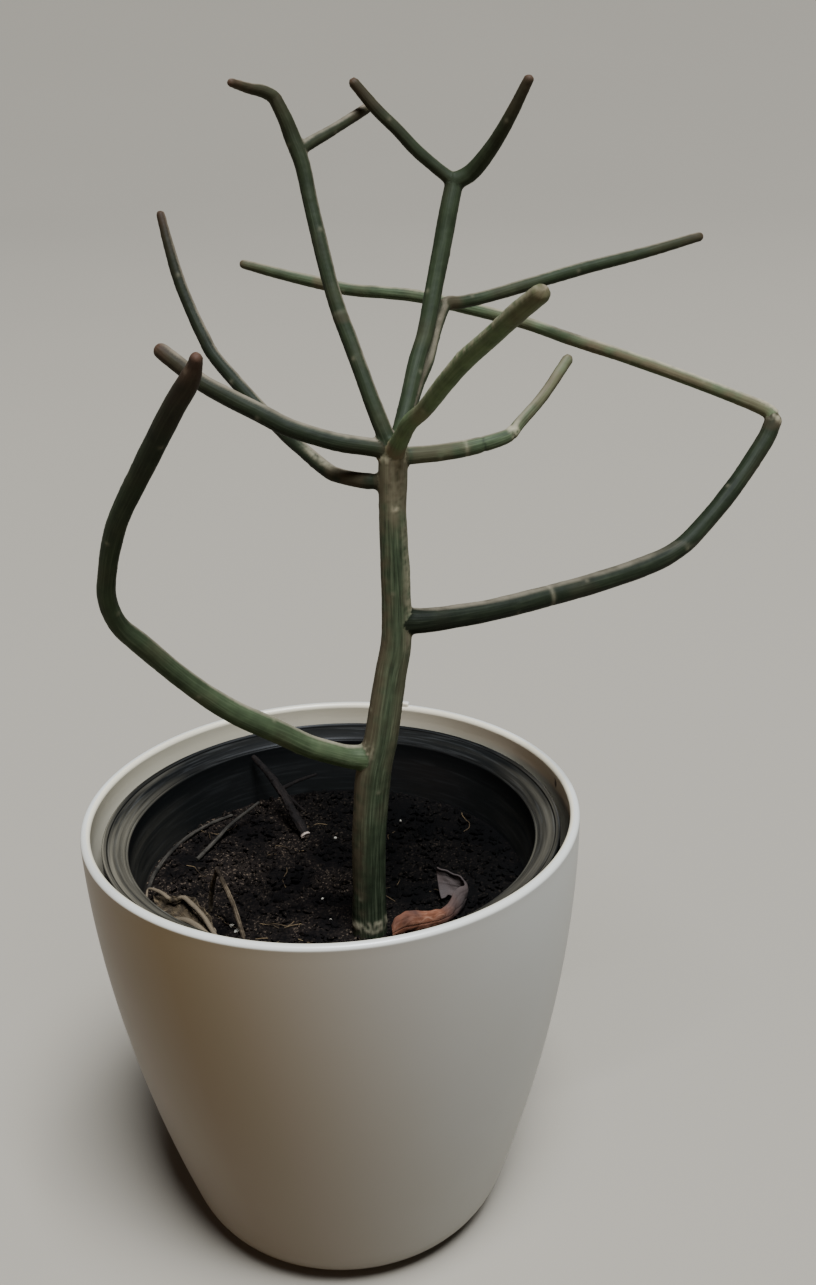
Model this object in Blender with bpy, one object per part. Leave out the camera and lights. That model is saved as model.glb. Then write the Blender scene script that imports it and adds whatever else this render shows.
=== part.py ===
"""Potted pencil cactus: a bare, branching plant in a dark nursery pot, which stands in an off-white planter.

Units are metres, +Z is up, and the origin is the middle of the planter's underside. The viewer stands at -Y.
"""

import math

import bmesh
import bpy
from mathutils import Matrix, Vector, noise

# Planter
RIM_RADIUS = 0.100
POT_HEIGHT = 0.190
POT_TAPER = 0.365  # share of the rim radius that the wall has lost at the foot
POT_BULGE = 1.82  # power of the wall's curve: 1 is a straight cone
POT_WALL = 0.0030
LIP_THICKNESS = 0.0039
LIP_DEPTH = 0.006
FOOT_RISE = 0.018  # height at which the rounded foot runs into the wall
FOOT_FLAT_RADIUS = 0.0450
LUG_AZIMUTH = math.radians(68.5)
LUG_SIZE = (0.0026, 0.0050, 0.0040)  # through the rim, along the rim, upward
LUG_RISE = 0.0016
LUG_BEVEL = 0.0006

# Nursery pot
FLANGE_OUTER_RADIUS = 0.0924
FLANGE_OUTER_HEIGHT = 0.1822
FLANGE_INNER_RADIUS = 0.0822
FLANGE_INNER_HEIGHT = 0.1775
FLANGE_SKIRT = 0.006
LINER_WALL = 0.0013
LINER_SHOULDER_DEPTH = 0.008
LINER_SHOULDER_STEP = 0.0008
LINER_FOOT_RADIUS = 0.0530
LINER_FOOT_ROUNDING = 0.008
DRAIN_HOLES = 4
DRAIN_RADIUS = 0.004
DRAIN_CIRCLE = 0.030
DRILL_DEPTH = 0.0052

# Soil
SOIL_EDGE_HEIGHT = 0.1550
SOIL_DIP = 0.0015
SOIL_RELIEF = 0.0009
SOIL_LUMP_SIZE = 0.018
SOIL_RINGS = 11

# Spaces between pieces that touch on the real thing
SEAT_GAP = 0.0003
HOLE_GAP = 0.0004

# Fineness of the solids
LATHE_STEPS = 48
CORNER_STEPS = 4
LIP_STEPS = 6
WALL_STEPS = 7
FOOT_STEPS = 5
TRUNK_SIDES = 14
STEM_SIDES = 8
DEBRIS_SIDES = 6
DRILL_SIDES = 12
ROUTE_STEPS = 2
TIP_DOME = ((0.55, 0.84), (0.88, 0.48))  # reach beyond the last ring and girth left, in radii

# Every stem is a row of (x, y, z, radius), from its root to 1 radius short of its tip
TRUNK = (
    (0.0130, -0.0380, 0.1100, 0.0052),
    (0.0130, -0.0380, 0.1350, 0.0066),
    (0.0125, -0.0380, 0.1540, 0.0068),
    (0.0130, -0.0380, 0.1775, 0.0064),
    (0.0140, -0.0380, 0.2000, 0.0065),
    (0.0165, -0.0375, 0.2240, 0.0066),
    (0.0200, -0.0370, 0.2390, 0.0062),
    (0.0240, -0.0350, 0.2610, 0.0058),
    (0.0268, -0.0340, 0.2760, 0.0055),
    (0.0272, -0.0335, 0.3000, 0.0052),
    (0.0270, -0.0330, 0.3200, 0.0049),
    (0.0278, -0.0322, 0.3420, 0.0051),
)
STEMS = {
    "lower_left": (
        (0.0175, -0.0380, 0.2300, 0.0052),
        (0.0080, -0.0390, 0.2315, 0.0044),
        (0.0015, -0.0410, 0.2345, 0.0042),
        (-0.0080, -0.0440, 0.2400, 0.0042),
        (-0.0170, -0.0480, 0.2475, 0.0042),
        (-0.0340, -0.0540, 0.2605, 0.0041),
        (-0.0485, -0.0600, 0.2760, 0.0037),
        (-0.0610, -0.0670, 0.2930, 0.0036),
        (-0.0670, -0.0700, 0.3015, 0.0033),
        (-0.0690, -0.0740, 0.3125, 0.0031),
        (-0.0670, -0.0780, 0.3240, 0.0031),
        (-0.0640, -0.0820, 0.3345, 0.0033),
        (-0.0600, -0.0870, 0.3445, 0.0033),
        (-0.0500, -0.0970, 0.3630, 0.0035),
        (-0.0405, -0.1090, 0.3810, 0.0034),
        (-0.0345, -0.1170, 0.3920, 0.0032),
        (-0.0322, -0.1200, 0.3970, 0.0022),
        (-0.0315, -0.1215, 0.3995, 0.0019),
    ),
    "lower_right": (
        (0.0275, -0.0340, 0.2825, 0.0050),
        (0.0390, -0.0320, 0.2815, 0.0045),
        (0.0605, -0.0240, 0.2805, 0.0041),
        (0.0820, -0.0150, 0.2810, 0.0040),
        (0.1045, -0.0060, 0.2825, 0.0039),
        (0.1270, 0.0040, 0.2850, 0.0039),
        (0.1385, 0.0090, 0.2880, 0.0036),
        (0.1480, 0.0140, 0.2935, 0.0035),
        (0.1645, 0.0240, 0.3075, 0.0035),
        (0.1790, 0.0340, 0.3230, 0.0035),
        (0.1835, 0.0370, 0.3295, 0.0034),
    ),
    "long_right": (
        (0.1840, 0.0380, 0.3325, 0.0029),
        (0.1805, 0.0400, 0.3350, 0.0028),
        (0.1720, 0.0440, 0.3385, 0.0027),
        (0.1510, 0.0540, 0.3460, 0.0026),
        (0.1290, 0.0620, 0.3535, 0.0026),
        (0.1065, 0.0700, 0.3605, 0.0026),
        (0.0880, 0.0780, 0.3665, 0.0026),
        (0.0640, 0.0880, 0.3720, 0.0026),
        (0.0480, 0.0940, 0.3755, 0.0026),
        (0.0340, 0.0980, 0.3770, 0.0026),
        (0.0195, 0.1030, 0.3780, 0.0026),
        (0.0065, 0.1080, 0.3805, 0.0026),
        (-0.0085, 0.1120, 0.3840, 0.0024),
        (-0.0228, 0.1162, 0.3877, 0.0020),
    ),
    "back": (
        (0.0300, -0.0280, 0.3455, 0.0027),
        (0.0390, 0.0020, 0.3585, 0.0024),
        (0.0445, 0.0140, 0.3660, 0.0023),
        (0.0480, 0.0260, 0.3730, 0.0023),
        (0.0520, 0.0380, 0.3790, 0.0024),
        (0.0545, 0.0420, 0.3815, 0.0027),
        (0.0605, 0.0440, 0.3815, 0.0025),
        (0.0735, 0.0490, 0.3830, 0.0025),
        (0.1090, 0.0610, 0.3893, 0.0025),
        (0.1355, 0.0703, 0.3931, 0.0023),
        (0.1592, 0.0785, 0.3972, 0.0019),
    ),
    "left_tall": (
        (0.0265, -0.0320, 0.3480, 0.0031),
        (0.0235, -0.0290, 0.3560, 0.0030),
        (0.0205, -0.0250, 0.3645, 0.0029),
        (0.0150, -0.0160, 0.3810, 0.0028),
        (0.0120, -0.0120, 0.3895, 0.0028),
        (0.0085, -0.0060, 0.4030, 0.0027),
        (0.0040, 0.0040, 0.4255, 0.0027),
        (0.0020, 0.0080, 0.4370, 0.0028),
        (-0.0010, 0.0100, 0.4460, 0.0028),
        (-0.0030, 0.0100, 0.4520, 0.0026),
        (-0.0060, 0.0100, 0.4585, 0.0024),
    ),
    "left_hook": (
        (-0.0065, 0.0100, 0.4595, 0.0023),
        (-0.0105, 0.0080, 0.4615, 0.0021),
        (-0.0145, 0.0050, 0.4625, 0.0018),
        (-0.0192, -0.0005, 0.4643, 0.0015),
    ),
    "left_twig": (
        (0.0015, 0.0095, 0.4420, 0.0021),
        (0.0055, 0.0130, 0.4440, 0.0021),
        (0.0145, 0.0200, 0.4480, 0.0019),
        (0.0240, 0.0290, 0.4525, 0.0018),
    ),
    "centre": (
        (0.0290, -0.0310, 0.3465, 0.0028),
        (0.0335, -0.0190, 0.3560, 0.0029),
        (0.0390, -0.0060, 0.3705, 0.0031),
        (0.0425, 0.0000, 0.3785, 0.0031),
        (0.0470, 0.0090, 0.3940, 0.0032),
        (0.0515, 0.0170, 0.4105, 0.0034),
        (0.0535, 0.0200, 0.4185, 0.0034),
        (0.0560, 0.0240, 0.4270, 0.0033),
    ),
    "centre_fork_left": (
        (0.0555, 0.0240, 0.4285, 0.0026),
        (0.0505, 0.0240, 0.4325, 0.0023),
        (0.0430, 0.0240, 0.4390, 0.0023),
        (0.0360, 0.0240, 0.4465, 0.0022),
        (0.0290, 0.0240, 0.4535, 0.0022),
        (0.0222, 0.0240, 0.4618, 0.0019),
    ),
    "centre_fork_right": (
        (0.0560, 0.0240, 0.4280, 0.0031),
        (0.0625, 0.0230, 0.4313, 0.0030),
        (0.0695, 0.0180, 0.4405, 0.0026),
        (0.0750, 0.0130, 0.4505, 0.0023),
        (0.0803, 0.0086, 0.4607, 0.0018),
    ),
    "front": (
        (0.0285, -0.0350, 0.3460, 0.0032),
        (0.0305, -0.0400, 0.3520, 0.0030),
        (0.0330, -0.0460, 0.3585, 0.0029),
        (0.0375, -0.0540, 0.3650, 0.0029),
        (0.0435, -0.0680, 0.3770, 0.0030),
        (0.0490, -0.0790, 0.3865, 0.0031),
        (0.0550, -0.0920, 0.3955, 0.0030),
        (0.0610, -0.1060, 0.4050, 0.0030),
        (0.0650, -0.1150, 0.4110, 0.0029),
    ),
    "left_bow": (
        (0.0270, -0.0320, 0.3455, 0.0033),
        (0.0195, -0.0320, 0.3470, 0.0032),
        (0.0095, -0.0320, 0.3490, 0.0032),
        (-0.0005, -0.0310, 0.3520, 0.0032),
        (-0.0090, -0.0290, 0.3550, 0.0033),
        (-0.0175, -0.0270, 0.3595, 0.0033),
        (-0.0350, -0.0200, 0.3680, 0.0031),
        (-0.0445, -0.0160, 0.3750, 0.0030),
        (-0.0500, -0.0137, 0.3793, 0.0028),
    ),
    "right_short": (
        (0.0285, -0.0320, 0.3433, 0.0033),
        (0.0360, -0.0310, 0.3430, 0.0031),
        (0.0465, -0.0300, 0.3434, 0.0030),
        (0.0570, -0.0280, 0.3444, 0.0029),
        (0.0660, -0.0260, 0.3460, 0.0026),
        (0.0700, -0.0250, 0.3475, 0.0023),
        (0.0732, -0.0220, 0.3500, 0.0021),
        (0.0825, -0.0160, 0.3580, 0.0020),
        (0.0917, -0.0100, 0.3670, 0.0020),
    ),
    "left_thin": (
        (0.0265, -0.0320, 0.3340, 0.0030),
        (0.0180, -0.0290, 0.3340, 0.0028),
        (0.0095, -0.0240, 0.3347, 0.0027),
        (0.0050, -0.0200, 0.3360, 0.0027),
        (-0.0035, -0.0110, 0.3415, 0.0026),
        (-0.0130, 0.0000, 0.3485, 0.0025),
        (-0.0325, 0.0180, 0.3680, 0.0025),
        (-0.0378, 0.0240, 0.3765, 0.0024),
        (-0.0422, 0.0300, 0.3860, 0.0023),
        (-0.0458, 0.0350, 0.3955, 0.0022),
        (-0.0486, 0.0400, 0.4058, 0.0020),
        (-0.0513, 0.0457, 0.4170, 0.0017),
    ),
}

# Dead matter on the soil: (x, y, height above the soil, radius)
TWIG = (
    (-0.0340, 0.0728, 0.0226, 0.0012),
    (-0.0295, 0.0665, 0.0198, 0.0015),
    (-0.0222, 0.0545, 0.0148, 0.0019),
    (-0.0115, 0.0350, 0.0024, 0.0022),
)
TWIG_SHOOTS = (
    ((-0.0222, 0.0545, 0.0148, 0.0010), (-0.0145, 0.0645, 0.0130, 0.0008), (-0.0062, 0.0740, 0.0108, 0.0006)),
    ((-0.0222, 0.0545, 0.0148, 0.0010), (-0.0170, 0.0540, 0.0095, 0.0008), (-0.0121, 0.0534, 0.0045, 0.0006)),
)
STALKS = {
    "dry_stalk_long": (
        (-0.0766, -0.0010, 0.0014, 0.0009),
        (-0.0752, 0.0115, 0.0014, 0.0009),
        (-0.0700, 0.0275, 0.0014, 0.0009),
        (-0.0625, 0.0405, 0.0014, 0.0008),
        (-0.0535, 0.0510, 0.0014, 0.0007),
        (-0.0445, 0.0575, 0.0018, 0.0006),
    ),
    "dry_stalk_short": (
        (-0.0580, 0.0220, 0.0014, 0.0009),
        (-0.0515, 0.0325, 0.0030, 0.0009),
        (-0.0440, 0.0445, 0.0050, 0.0008),
        (-0.0320, 0.0540, 0.0090, 0.0006),
    ),
}
BENT_STALK_LEGS = (
    ((-0.0355, -0.0368, -0.003, 0.0010), (-0.0400, -0.0320, 0.012, 0.0010), (-0.0455, -0.0275, 0.0265, 0.0009)),
    ((-0.0513, -0.0144, -0.003, 0.0010), (-0.0490, -0.0200, 0.012, 0.0010), (-0.0455, -0.0275, 0.0265, 0.0009)),
)

# Leaves: (x, y, height of the lower edge above the soil, half width, lean of the blade from flat)
LEAF_THICKNESS = 0.0012
LEAF_BOW = 0.25  # share of its half width by which a blade's edges bend up
LEAF_STRIPS = (-1.0, -0.4, 0.4, 1.0)  # where a blade's points stand across it, in half widths
CURLED_LEAF = (
    (0.0235, -0.0440, 0.0005, 0.0038, 60),
    (0.0300, -0.0420, 0.0004, 0.0050, 65),
    (0.0400, -0.0375, 0.0004, 0.0052, 68),
    (0.0485, -0.0310, 0.0008, 0.0050, 74),
    (0.0535, -0.0240, 0.0022, 0.0048, 82),
    (0.0505, -0.0180, 0.0050, 0.0042, 90),
    (0.0440, -0.0175, 0.0095, 0.0022, 96),
)
CRUMPLED_LEAF = (
    (-0.0725, -0.0070, 0.0010, 0.0012, -10),
    (-0.0680, -0.0145, 0.0006, 0.0045, -22),
    (-0.0625, -0.0205, 0.0006, 0.0070, -28),
    (-0.0565, -0.0275, 0.0006, 0.0068, -24),
    (-0.0520, -0.0340, 0.0006, 0.0045, -14),
    (-0.0485, -0.0390, 0.0008, 0.0020, -6),
)

FINISHES = {
    "planter_plastic": ((0.62, 0.60, 0.54), 0.45),
    "liner_plastic": ((0.035, 0.040, 0.045), 0.50),
    "potting_soil": ((0.030, 0.022, 0.016), 0.95),
    "succulent_skin": ((0.100, 0.140, 0.070), 0.60),
    "dead_wood": ((0.090, 0.070, 0.050), 0.85),
    "dry_stalk": ((0.250, 0.190, 0.120), 0.80),
    "dry_leaf": ((0.350, 0.160, 0.100), 0.75),
}


def clear_scene():
    for old in list(bpy.data.objects):
        bpy.data.objects.remove(old, do_unlink=True)


def finish(name):
    """The named material, made the first time that it is asked for."""
    material = bpy.data.materials.get(name)
    if material is None:
        colour, roughness = FINISHES[name]
        material = bpy.data.materials.new(name)
        material.use_nodes = True
        shader = material.node_tree.nodes["Principled BSDF"]
        shader.inputs["Base Color"].default_value = (*colour, 1.0)
        shader.inputs["Roughness"].default_value = roughness
        shader.inputs["Metallic"].default_value = 0.0
    return material


def object_from(bm, name, finish_name, sharp_angle=35):
    """Closes the bmesh into a named object with its normals out and its smooth shading set."""
    bmesh.ops.recalc_face_normals(bm, faces=bm.faces)
    mesh = bpy.data.meshes.new(name)
    bm.to_mesh(mesh)
    bm.free()
    mesh.shade_smooth()
    mesh.set_sharp_from_angle(angle=math.radians(sharp_angle))
    mesh.materials.append(finish(finish_name))
    made = bpy.data.objects.new(name, mesh)
    bpy.context.scene.collection.objects.link(made)
    return made


def combine(body, others, operation):
    """Joins the other objects to the body, or cuts them from it, with one Boolean, and removes them."""
    group = bpy.data.collections.new(f"{body.name}_tools")
    for other in others:
        group.objects.link(other)
    boolean = body.modifiers.new(operation.lower(), "BOOLEAN")
    boolean.operation = operation
    boolean.operand_type = "COLLECTION"
    boolean.collection = group
    boolean.solver = "EXACT"
    bpy.context.view_layer.objects.active = body
    bpy.ops.object.modifier_apply(modifier=boolean.name)
    for other in others:
        bpy.data.objects.remove(other, do_unlink=True)
    bpy.data.collections.remove(group)


def lathe(name, outline, finish_name):
    """Turns a closed (radius, height) outline, which starts and ends on the axis, about Z."""
    bm = bmesh.new()
    points = [bm.verts.new((radius, 0.0, height)) for radius, height in outline]
    edges = [bm.edges.new(pair) for pair in zip(points, points[1:])]
    bmesh.ops.spin(
        bm, geom=points + edges, cent=(0, 0, 0), axis=(0, 0, 1), angle=math.tau, steps=LATHE_STEPS, use_merge=True
    )
    bmesh.ops.remove_doubles(bm, verts=bm.verts, dist=1e-6)
    return object_from(bm, name, finish_name)


def arc(centre, radius, start_deg, end_deg, steps=CORNER_STEPS):
    """(radius, height) points of an arc in the outline's plane, both ends included."""
    turn = math.radians(end_deg - start_deg)
    angles = [math.radians(start_deg) + turn * step / steps for step in range(steps + 1)]
    return [(centre[0] + radius * math.cos(a), centre[1] + radius * math.sin(a)) for a in angles]


def planter_radius(height):
    """Outer radius of the planter's wall at a height."""
    below_rim = 1.0 - height / POT_HEIGHT
    return RIM_RADIUS * (1.0 - POT_TAPER * below_rim**POT_BULGE)


def foot_curve(inset):
    """Quadratic curve from the flat foot up into the wall, on the outside or a wall's thickness inside it."""
    slope = (planter_radius(FOOT_RISE * 1.1) - planter_radius(FOOT_RISE * 0.9)) / (FOOT_RISE * 0.2)
    flat = Vector((FOOT_FLAT_RADIUS, inset))
    top = Vector((planter_radius(FOOT_RISE) - inset, FOOT_RISE))
    corner = Vector((top.x - slope * (FOOT_RISE - inset), inset))
    shares = [step / FOOT_STEPS for step in range(FOOT_STEPS + 1)]
    return [(flat * (1 - t) ** 2 + corner * 2 * t * (1 - t) + top * t**2).to_tuple() for t in shares]


def liner_radius(height):
    """Outer radius of the nursery pot's wall at a height."""
    top = FLANGE_INNER_HEIGHT - LINER_SHOULDER_DEPTH
    foot = POT_WALL + SEAT_GAP + LINER_FOOT_ROUNDING
    share = (height - foot) / (top - foot)
    top_radius = FLANGE_INNER_RADIUS + LINER_WALL - LINER_SHOULDER_STEP
    return LINER_FOOT_RADIUS + share * (top_radius - LINER_FOOT_RADIUS)


def soil_height(x, y):
    """Height of the soil's top: it dips a little towards the middle and is lumpy all over."""
    edge_share = math.hypot(x, y) / liner_radius(SOIL_EDGE_HEIGHT)
    lumps = noise.noise(Vector((x, y, 0.0)) / SOIL_LUMP_SIZE)
    return SOIL_EDGE_HEIGHT - SOIL_DIP * (1.0 - edge_share**2) + SOIL_RELIEF * lumps


def smooth_route(rows, steps=ROUTE_STEPS):
    """Rows of (x, y, z, radius) read from a smooth curve through the given ones."""
    knots = [Vector(row) for row in rows]
    knots = [2 * knots[0] - knots[1], *knots, 2 * knots[-1] - knots[-2]]
    route = []
    for before, start, end, after in zip(knots, knots[1:], knots[2:], knots[3:]):
        for step in range(steps):
            t = step / steps
            bend = 2 * before - 5 * start + 4 * end - after
            twist = 3 * (start - end) + after - before
            route.append(start + 0.5 * t * ((end - before) + t * (bend + t * twist)))
    route.append(knots[-2])
    return route


def tube(name, rows, finish_name, sides=STEM_SIDES, swell=0.0, round_tip=True, steps=ROUTE_STEPS):
    """A round stem along a smooth route, with a flat root and, where asked, a domed tip.

    A swell makes it that much fatter on all sides, root included, as the cutter of the stem's own hole is.
    """
    route = smooth_route(rows, steps)
    if round_tip:
        last = route[-1]
        onward = (last - route[-2]).to_3d().normalized()
        for reach, share in TIP_DOME:
            route.append(Vector((*(last.to_3d() + onward * last.w * reach), last.w * share)))
        apex = last.to_3d() + onward * (last.w + swell)
    bm = bmesh.new()
    rings = []
    across = None
    for index, row in enumerate(route):
        ahead = route[min(index + 1, len(route) - 1)].to_3d() - route[max(index - 1, 0)].to_3d()
        ahead.normalize()
        if across is None:
            across = ahead.orthogonal()
        across = (across - ahead * across.dot(ahead)).normalized()
        up = ahead.cross(across)
        turns = [math.tau * side / sides for side in range(sides)]
        middle = row.to_3d() if index else row.to_3d() - ahead * swell
        radius = row.w + swell
        rings.append([bm.verts.new(middle + radius * (math.cos(a) * across + math.sin(a) * up)) for a in turns])
    for lower, upper in zip(rings, rings[1:]):
        for side in range(sides):
            beside = (side + 1) % sides
            bm.faces.new((lower[side], lower[beside], upper[beside], upper[side]))
    bm.faces.new(reversed(rings[0]))
    if round_tip:
        tip = bm.verts.new(apex)
        for side in range(sides):
            bm.faces.new((rings[-1][side], rings[-1][(side + 1) % sides], tip))
    else:
        bm.faces.new(rings[-1])
    return object_from(bm, name, finish_name)


def on_soil(rows):
    """Rows whose third value is a height above the soil, with that value made a real height."""
    return tuple((x, y, soil_height(x, y) + above, *rest) for x, y, above, *rest in rows)


def leaf_on_soil(rows):
    """Rows of a leaf, with its lower edge's height above the soil made the real height of its middle."""
    placed = []
    for x, y, above, half_width, lean in rows:
        tilt, level = abs(math.sin(math.radians(lean))), math.cos(math.radians(lean))
        drop = max(share * tilt - share * share * LEAF_BOW * level for share in LEAF_STRIPS) * half_width
        placed.append((x, y, soil_height(x, y) + above + drop + LEAF_THICKNESS / 2, half_width, lean))
    return placed


def blade(name, rows, finish_name):
    """A leaf along a route: each row gives its middle, its half width and how far it leans from flat."""
    bm = bmesh.new()
    cuts = []
    middles = [Vector(row[:3]) for row in rows]
    for index, (x, y, z, half_width, lean) in enumerate(rows):
        ahead = middles[min(index + 1, len(rows) - 1)] - middles[max(index - 1, 0)]
        ahead.z = 0.0
        level = ahead.normalized().cross(Vector((0, 0, 1)))
        angle = math.radians(lean)
        side = math.cos(angle) * level + math.sin(angle) * Vector((0, 0, 1))
        bow = side.cross(ahead.normalized()) * LEAF_BOW
        middle = middles[index]
        cuts.append([bm.verts.new(middle + half_width * (side * s + bow * s * s)) for s in LEAF_STRIPS])
    for near, far in zip(cuts, cuts[1:]):
        for strip in range(len(LEAF_STRIPS) - 1):
            bm.faces.new((near[strip], near[strip + 1], far[strip + 1], far[strip]))
    made = object_from(bm, name, finish_name)
    thick = made.modifiers.new("thickness", "SOLIDIFY")
    thick.thickness = LEAF_THICKNESS
    thick.offset = 0.0
    return made


def build_planter():
    """The outer shell: foot, curved wall, rounded lip, inner wall and floor, with the lug on its rim."""
    wall_end = POT_HEIGHT - LIP_DEPTH
    heights = [FOOT_RISE + (wall_end - FOOT_RISE) * step / WALL_STEPS for step in range(WALL_STEPS + 1)]
    lip_centre = (RIM_RADIUS - LIP_THICKNESS / 2, POT_HEIGHT - LIP_THICKNESS / 2)
    outline = [(0.0, 0.0)]
    outline += foot_curve(0.0)[:-1]
    outline += [(planter_radius(height), height) for height in heights]
    outline += arc(lip_centre, LIP_THICKNESS / 2, 0, 180, LIP_STEPS)
    outline += [(planter_radius(height) - POT_WALL, height) for height in reversed(heights)]
    outline += reversed(foot_curve(POT_WALL)[:-1])
    outline += [(0.0, POT_WALL)]
    planter = lathe("cover_pot", outline, "planter_plastic")
    through, along, tall = LUG_SIZE
    bm = bmesh.new()
    bmesh.ops.create_cube(bm, size=1.0)
    bmesh.ops.scale(bm, vec=(through, along, tall), verts=bm.verts)
    bmesh.ops.bevel(bm, geom=bm.edges, offset=LUG_BEVEL, segments=1, affect="EDGES")
    lug_middle = POT_HEIGHT + LUG_RISE - tall / 2
    bmesh.ops.translate(bm, vec=(RIM_RADIUS - LIP_THICKNESS / 2, 0, lug_middle), verts=bm.verts)
    bmesh.ops.rotate(bm, cent=(0, 0, 0), matrix=Matrix.Rotation(LUG_AZIMUTH, 3, "Z"), verts=bm.verts)
    combine(planter, [object_from(bm, "lug", "planter_plastic")], "UNION")
    return planter


def build_liner():
    """The inner pot: skirt, sloping flange, shoulder, tapered wall and a floor with drain holes."""
    underside = POT_WALL + SEAT_GAP
    foot_centre = (LINER_FOOT_RADIUS - LINER_FOOT_ROUNDING, underside + LINER_FOOT_ROUNDING)
    shoulder = FLANGE_INNER_HEIGHT - LINER_SHOULDER_DEPTH
    inner_radius = FLANGE_INNER_RADIUS
    outline = [(0.0, underside)]
    outline += arc(foot_centre, LINER_FOOT_ROUNDING, -90, 0)
    outline += [
        (liner_radius(shoulder), shoulder),
        (inner_radius + LINER_WALL, shoulder + LINER_WALL),
        (inner_radius + LINER_WALL, FLANGE_INNER_HEIGHT - LINER_WALL),
        (FLANGE_OUTER_RADIUS - LINER_WALL, FLANGE_OUTER_HEIGHT - LINER_WALL),
        (FLANGE_OUTER_RADIUS - LINER_WALL, FLANGE_OUTER_HEIGHT - FLANGE_SKIRT),
        (FLANGE_OUTER_RADIUS, FLANGE_OUTER_HEIGHT - FLANGE_SKIRT),
        (FLANGE_OUTER_RADIUS, FLANGE_OUTER_HEIGHT - LINER_WALL / 2),
        (FLANGE_OUTER_RADIUS - LINER_WALL / 2, FLANGE_OUTER_HEIGHT),
        (inner_radius + LINER_WALL, FLANGE_INNER_HEIGHT + LINER_WALL / 2),
        (inner_radius + LINER_WALL / 3, FLANGE_INNER_HEIGHT + LINER_WALL / 3),
        (inner_radius, FLANGE_INNER_HEIGHT - LINER_WALL / 2),
        (inner_radius, shoulder + LINER_WALL),
        (liner_radius(shoulder) - LINER_WALL, shoulder),
    ]
    outline += arc(foot_centre, LINER_FOOT_ROUNDING - LINER_WALL, 0, -90)
    outline += [(0.0, underside + LINER_WALL)]
    liner = lathe("nursery_pot", outline, "liner_plastic")
    drills = []
    for hole in range(DRAIN_HOLES):
        bm = bmesh.new()
        bmesh.ops.create_cone(
            bm,
            cap_ends=True,
            segments=DRILL_SIDES,
            radius1=DRAIN_RADIUS,
            radius2=DRAIN_RADIUS,
            depth=DRILL_DEPTH,
        )
        angle = math.tau * (hole + 0.5) / DRAIN_HOLES
        place = (DRAIN_CIRCLE * math.cos(angle), DRAIN_CIRCLE * math.sin(angle), underside + LINER_WALL / 2)
        bmesh.ops.translate(bm, vec=place, verts=bm.verts)
        drills.append(object_from(bm, f"drain_drill_{hole}", "liner_plastic"))
    combine(liner, drills, "DIFFERENCE")
    return liner


def build_soil():
    """The potting mix: it fills the inner pot up to a lumpy top with plain holes for the planted stems."""
    clearance = LINER_WALL + SEAT_GAP
    bottom = POT_WALL + SEAT_GAP + LINER_WALL + SEAT_GAP
    foot = POT_WALL + SEAT_GAP + LINER_FOOT_ROUNDING
    flat_radius = LINER_FOOT_RADIUS - LINER_FOOT_ROUNDING
    edge_radius = liner_radius(SOIL_EDGE_HEIGHT) - clearance
    rings = [(flat_radius, bottom), (LINER_FOOT_RADIUS - clearance, foot)]
    bm = bmesh.new()
    turns = [math.tau * step / LATHE_STEPS for step in range(LATHE_STEPS)]
    rows = []
    for radius, height in rings:
        rows.append([bm.verts.new((radius * math.cos(a), radius * math.sin(a), height)) for a in turns])
    for ring in range(SOIL_RINGS, 0, -1):
        radius = edge_radius * ring / SOIL_RINGS
        row = []
        for a in turns:
            x, y = radius * math.cos(a), radius * math.sin(a)
            row.append(bm.verts.new((x, y, soil_height(x, y))))
        rows.append(row)
    for lower, upper in zip(rows, rows[1:]):
        for step in range(LATHE_STEPS):
            beside = (step + 1) % LATHE_STEPS
            bm.faces.new((lower[step], lower[beside], upper[beside], upper[step]))
    bm.faces.new(reversed(rows[0]))
    peak = bm.verts.new((0.0, 0.0, soil_height(0.0, 0.0)))
    for step in range(LATHE_STEPS):
        bm.faces.new((rows[-1][step], rows[-1][(step + 1) % LATHE_STEPS], peak))
    bmesh.ops.triangulate(bm, faces=bm.faces)
    soil = object_from(bm, "soil", "potting_soil", sharp_angle=60)
    cutters = [tube("trunk_hole", TRUNK[:5], "potting_soil", TRUNK_SIDES, HOLE_GAP, round_tip=False)]
    for number, leg in enumerate(BENT_STALK_LEGS):
        name = f"stalk_hole_{number}"
        cutters.append(tube(name, on_soil(leg), "potting_soil", DEBRIS_SIDES, HOLE_GAP, round_tip=False))
    combine(soil, cutters, "DIFFERENCE")
    return soil


def build_plant():
    """The whole plant: the trunk and its stems, grown together as one body."""
    plant = tube("pencil_cactus", TRUNK, "succulent_skin", TRUNK_SIDES)
    stems = [tube(name, rows, "succulent_skin") for name, rows in STEMS.items()]
    combine(plant, stems, "UNION")
    return plant


def build_debris():
    """The dead twig, stalks and leaves that lie or stand on the soil."""
    twig = tube("dry_twig", on_soil(TWIG), "dead_wood", DEBRIS_SIDES, round_tip=False)
    shoots = [
        tube(f"twig_shoot_{number}", on_soil(rows), "dead_wood", DEBRIS_SIDES)
        for number, rows in enumerate(TWIG_SHOOTS)
    ]
    combine(twig, shoots, "UNION")
    for name, rows in STALKS.items():
        tube(name, on_soil(rows), "dry_stalk", DEBRIS_SIDES, steps=3)
    first, second = (on_soil(leg) for leg in BENT_STALK_LEGS)
    bent = tube("bent_stalk", first, "dry_stalk", DEBRIS_SIDES)
    combine(bent, [tube("second_leg", second, "dry_stalk", DEBRIS_SIDES)], "UNION")
    blade("curled_leaf", leaf_on_soil(CURLED_LEAF), "dry_leaf")
    blade("crumpled_leaf", leaf_on_soil(CRUMPLED_LEAF), "dry_stalk")


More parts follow.
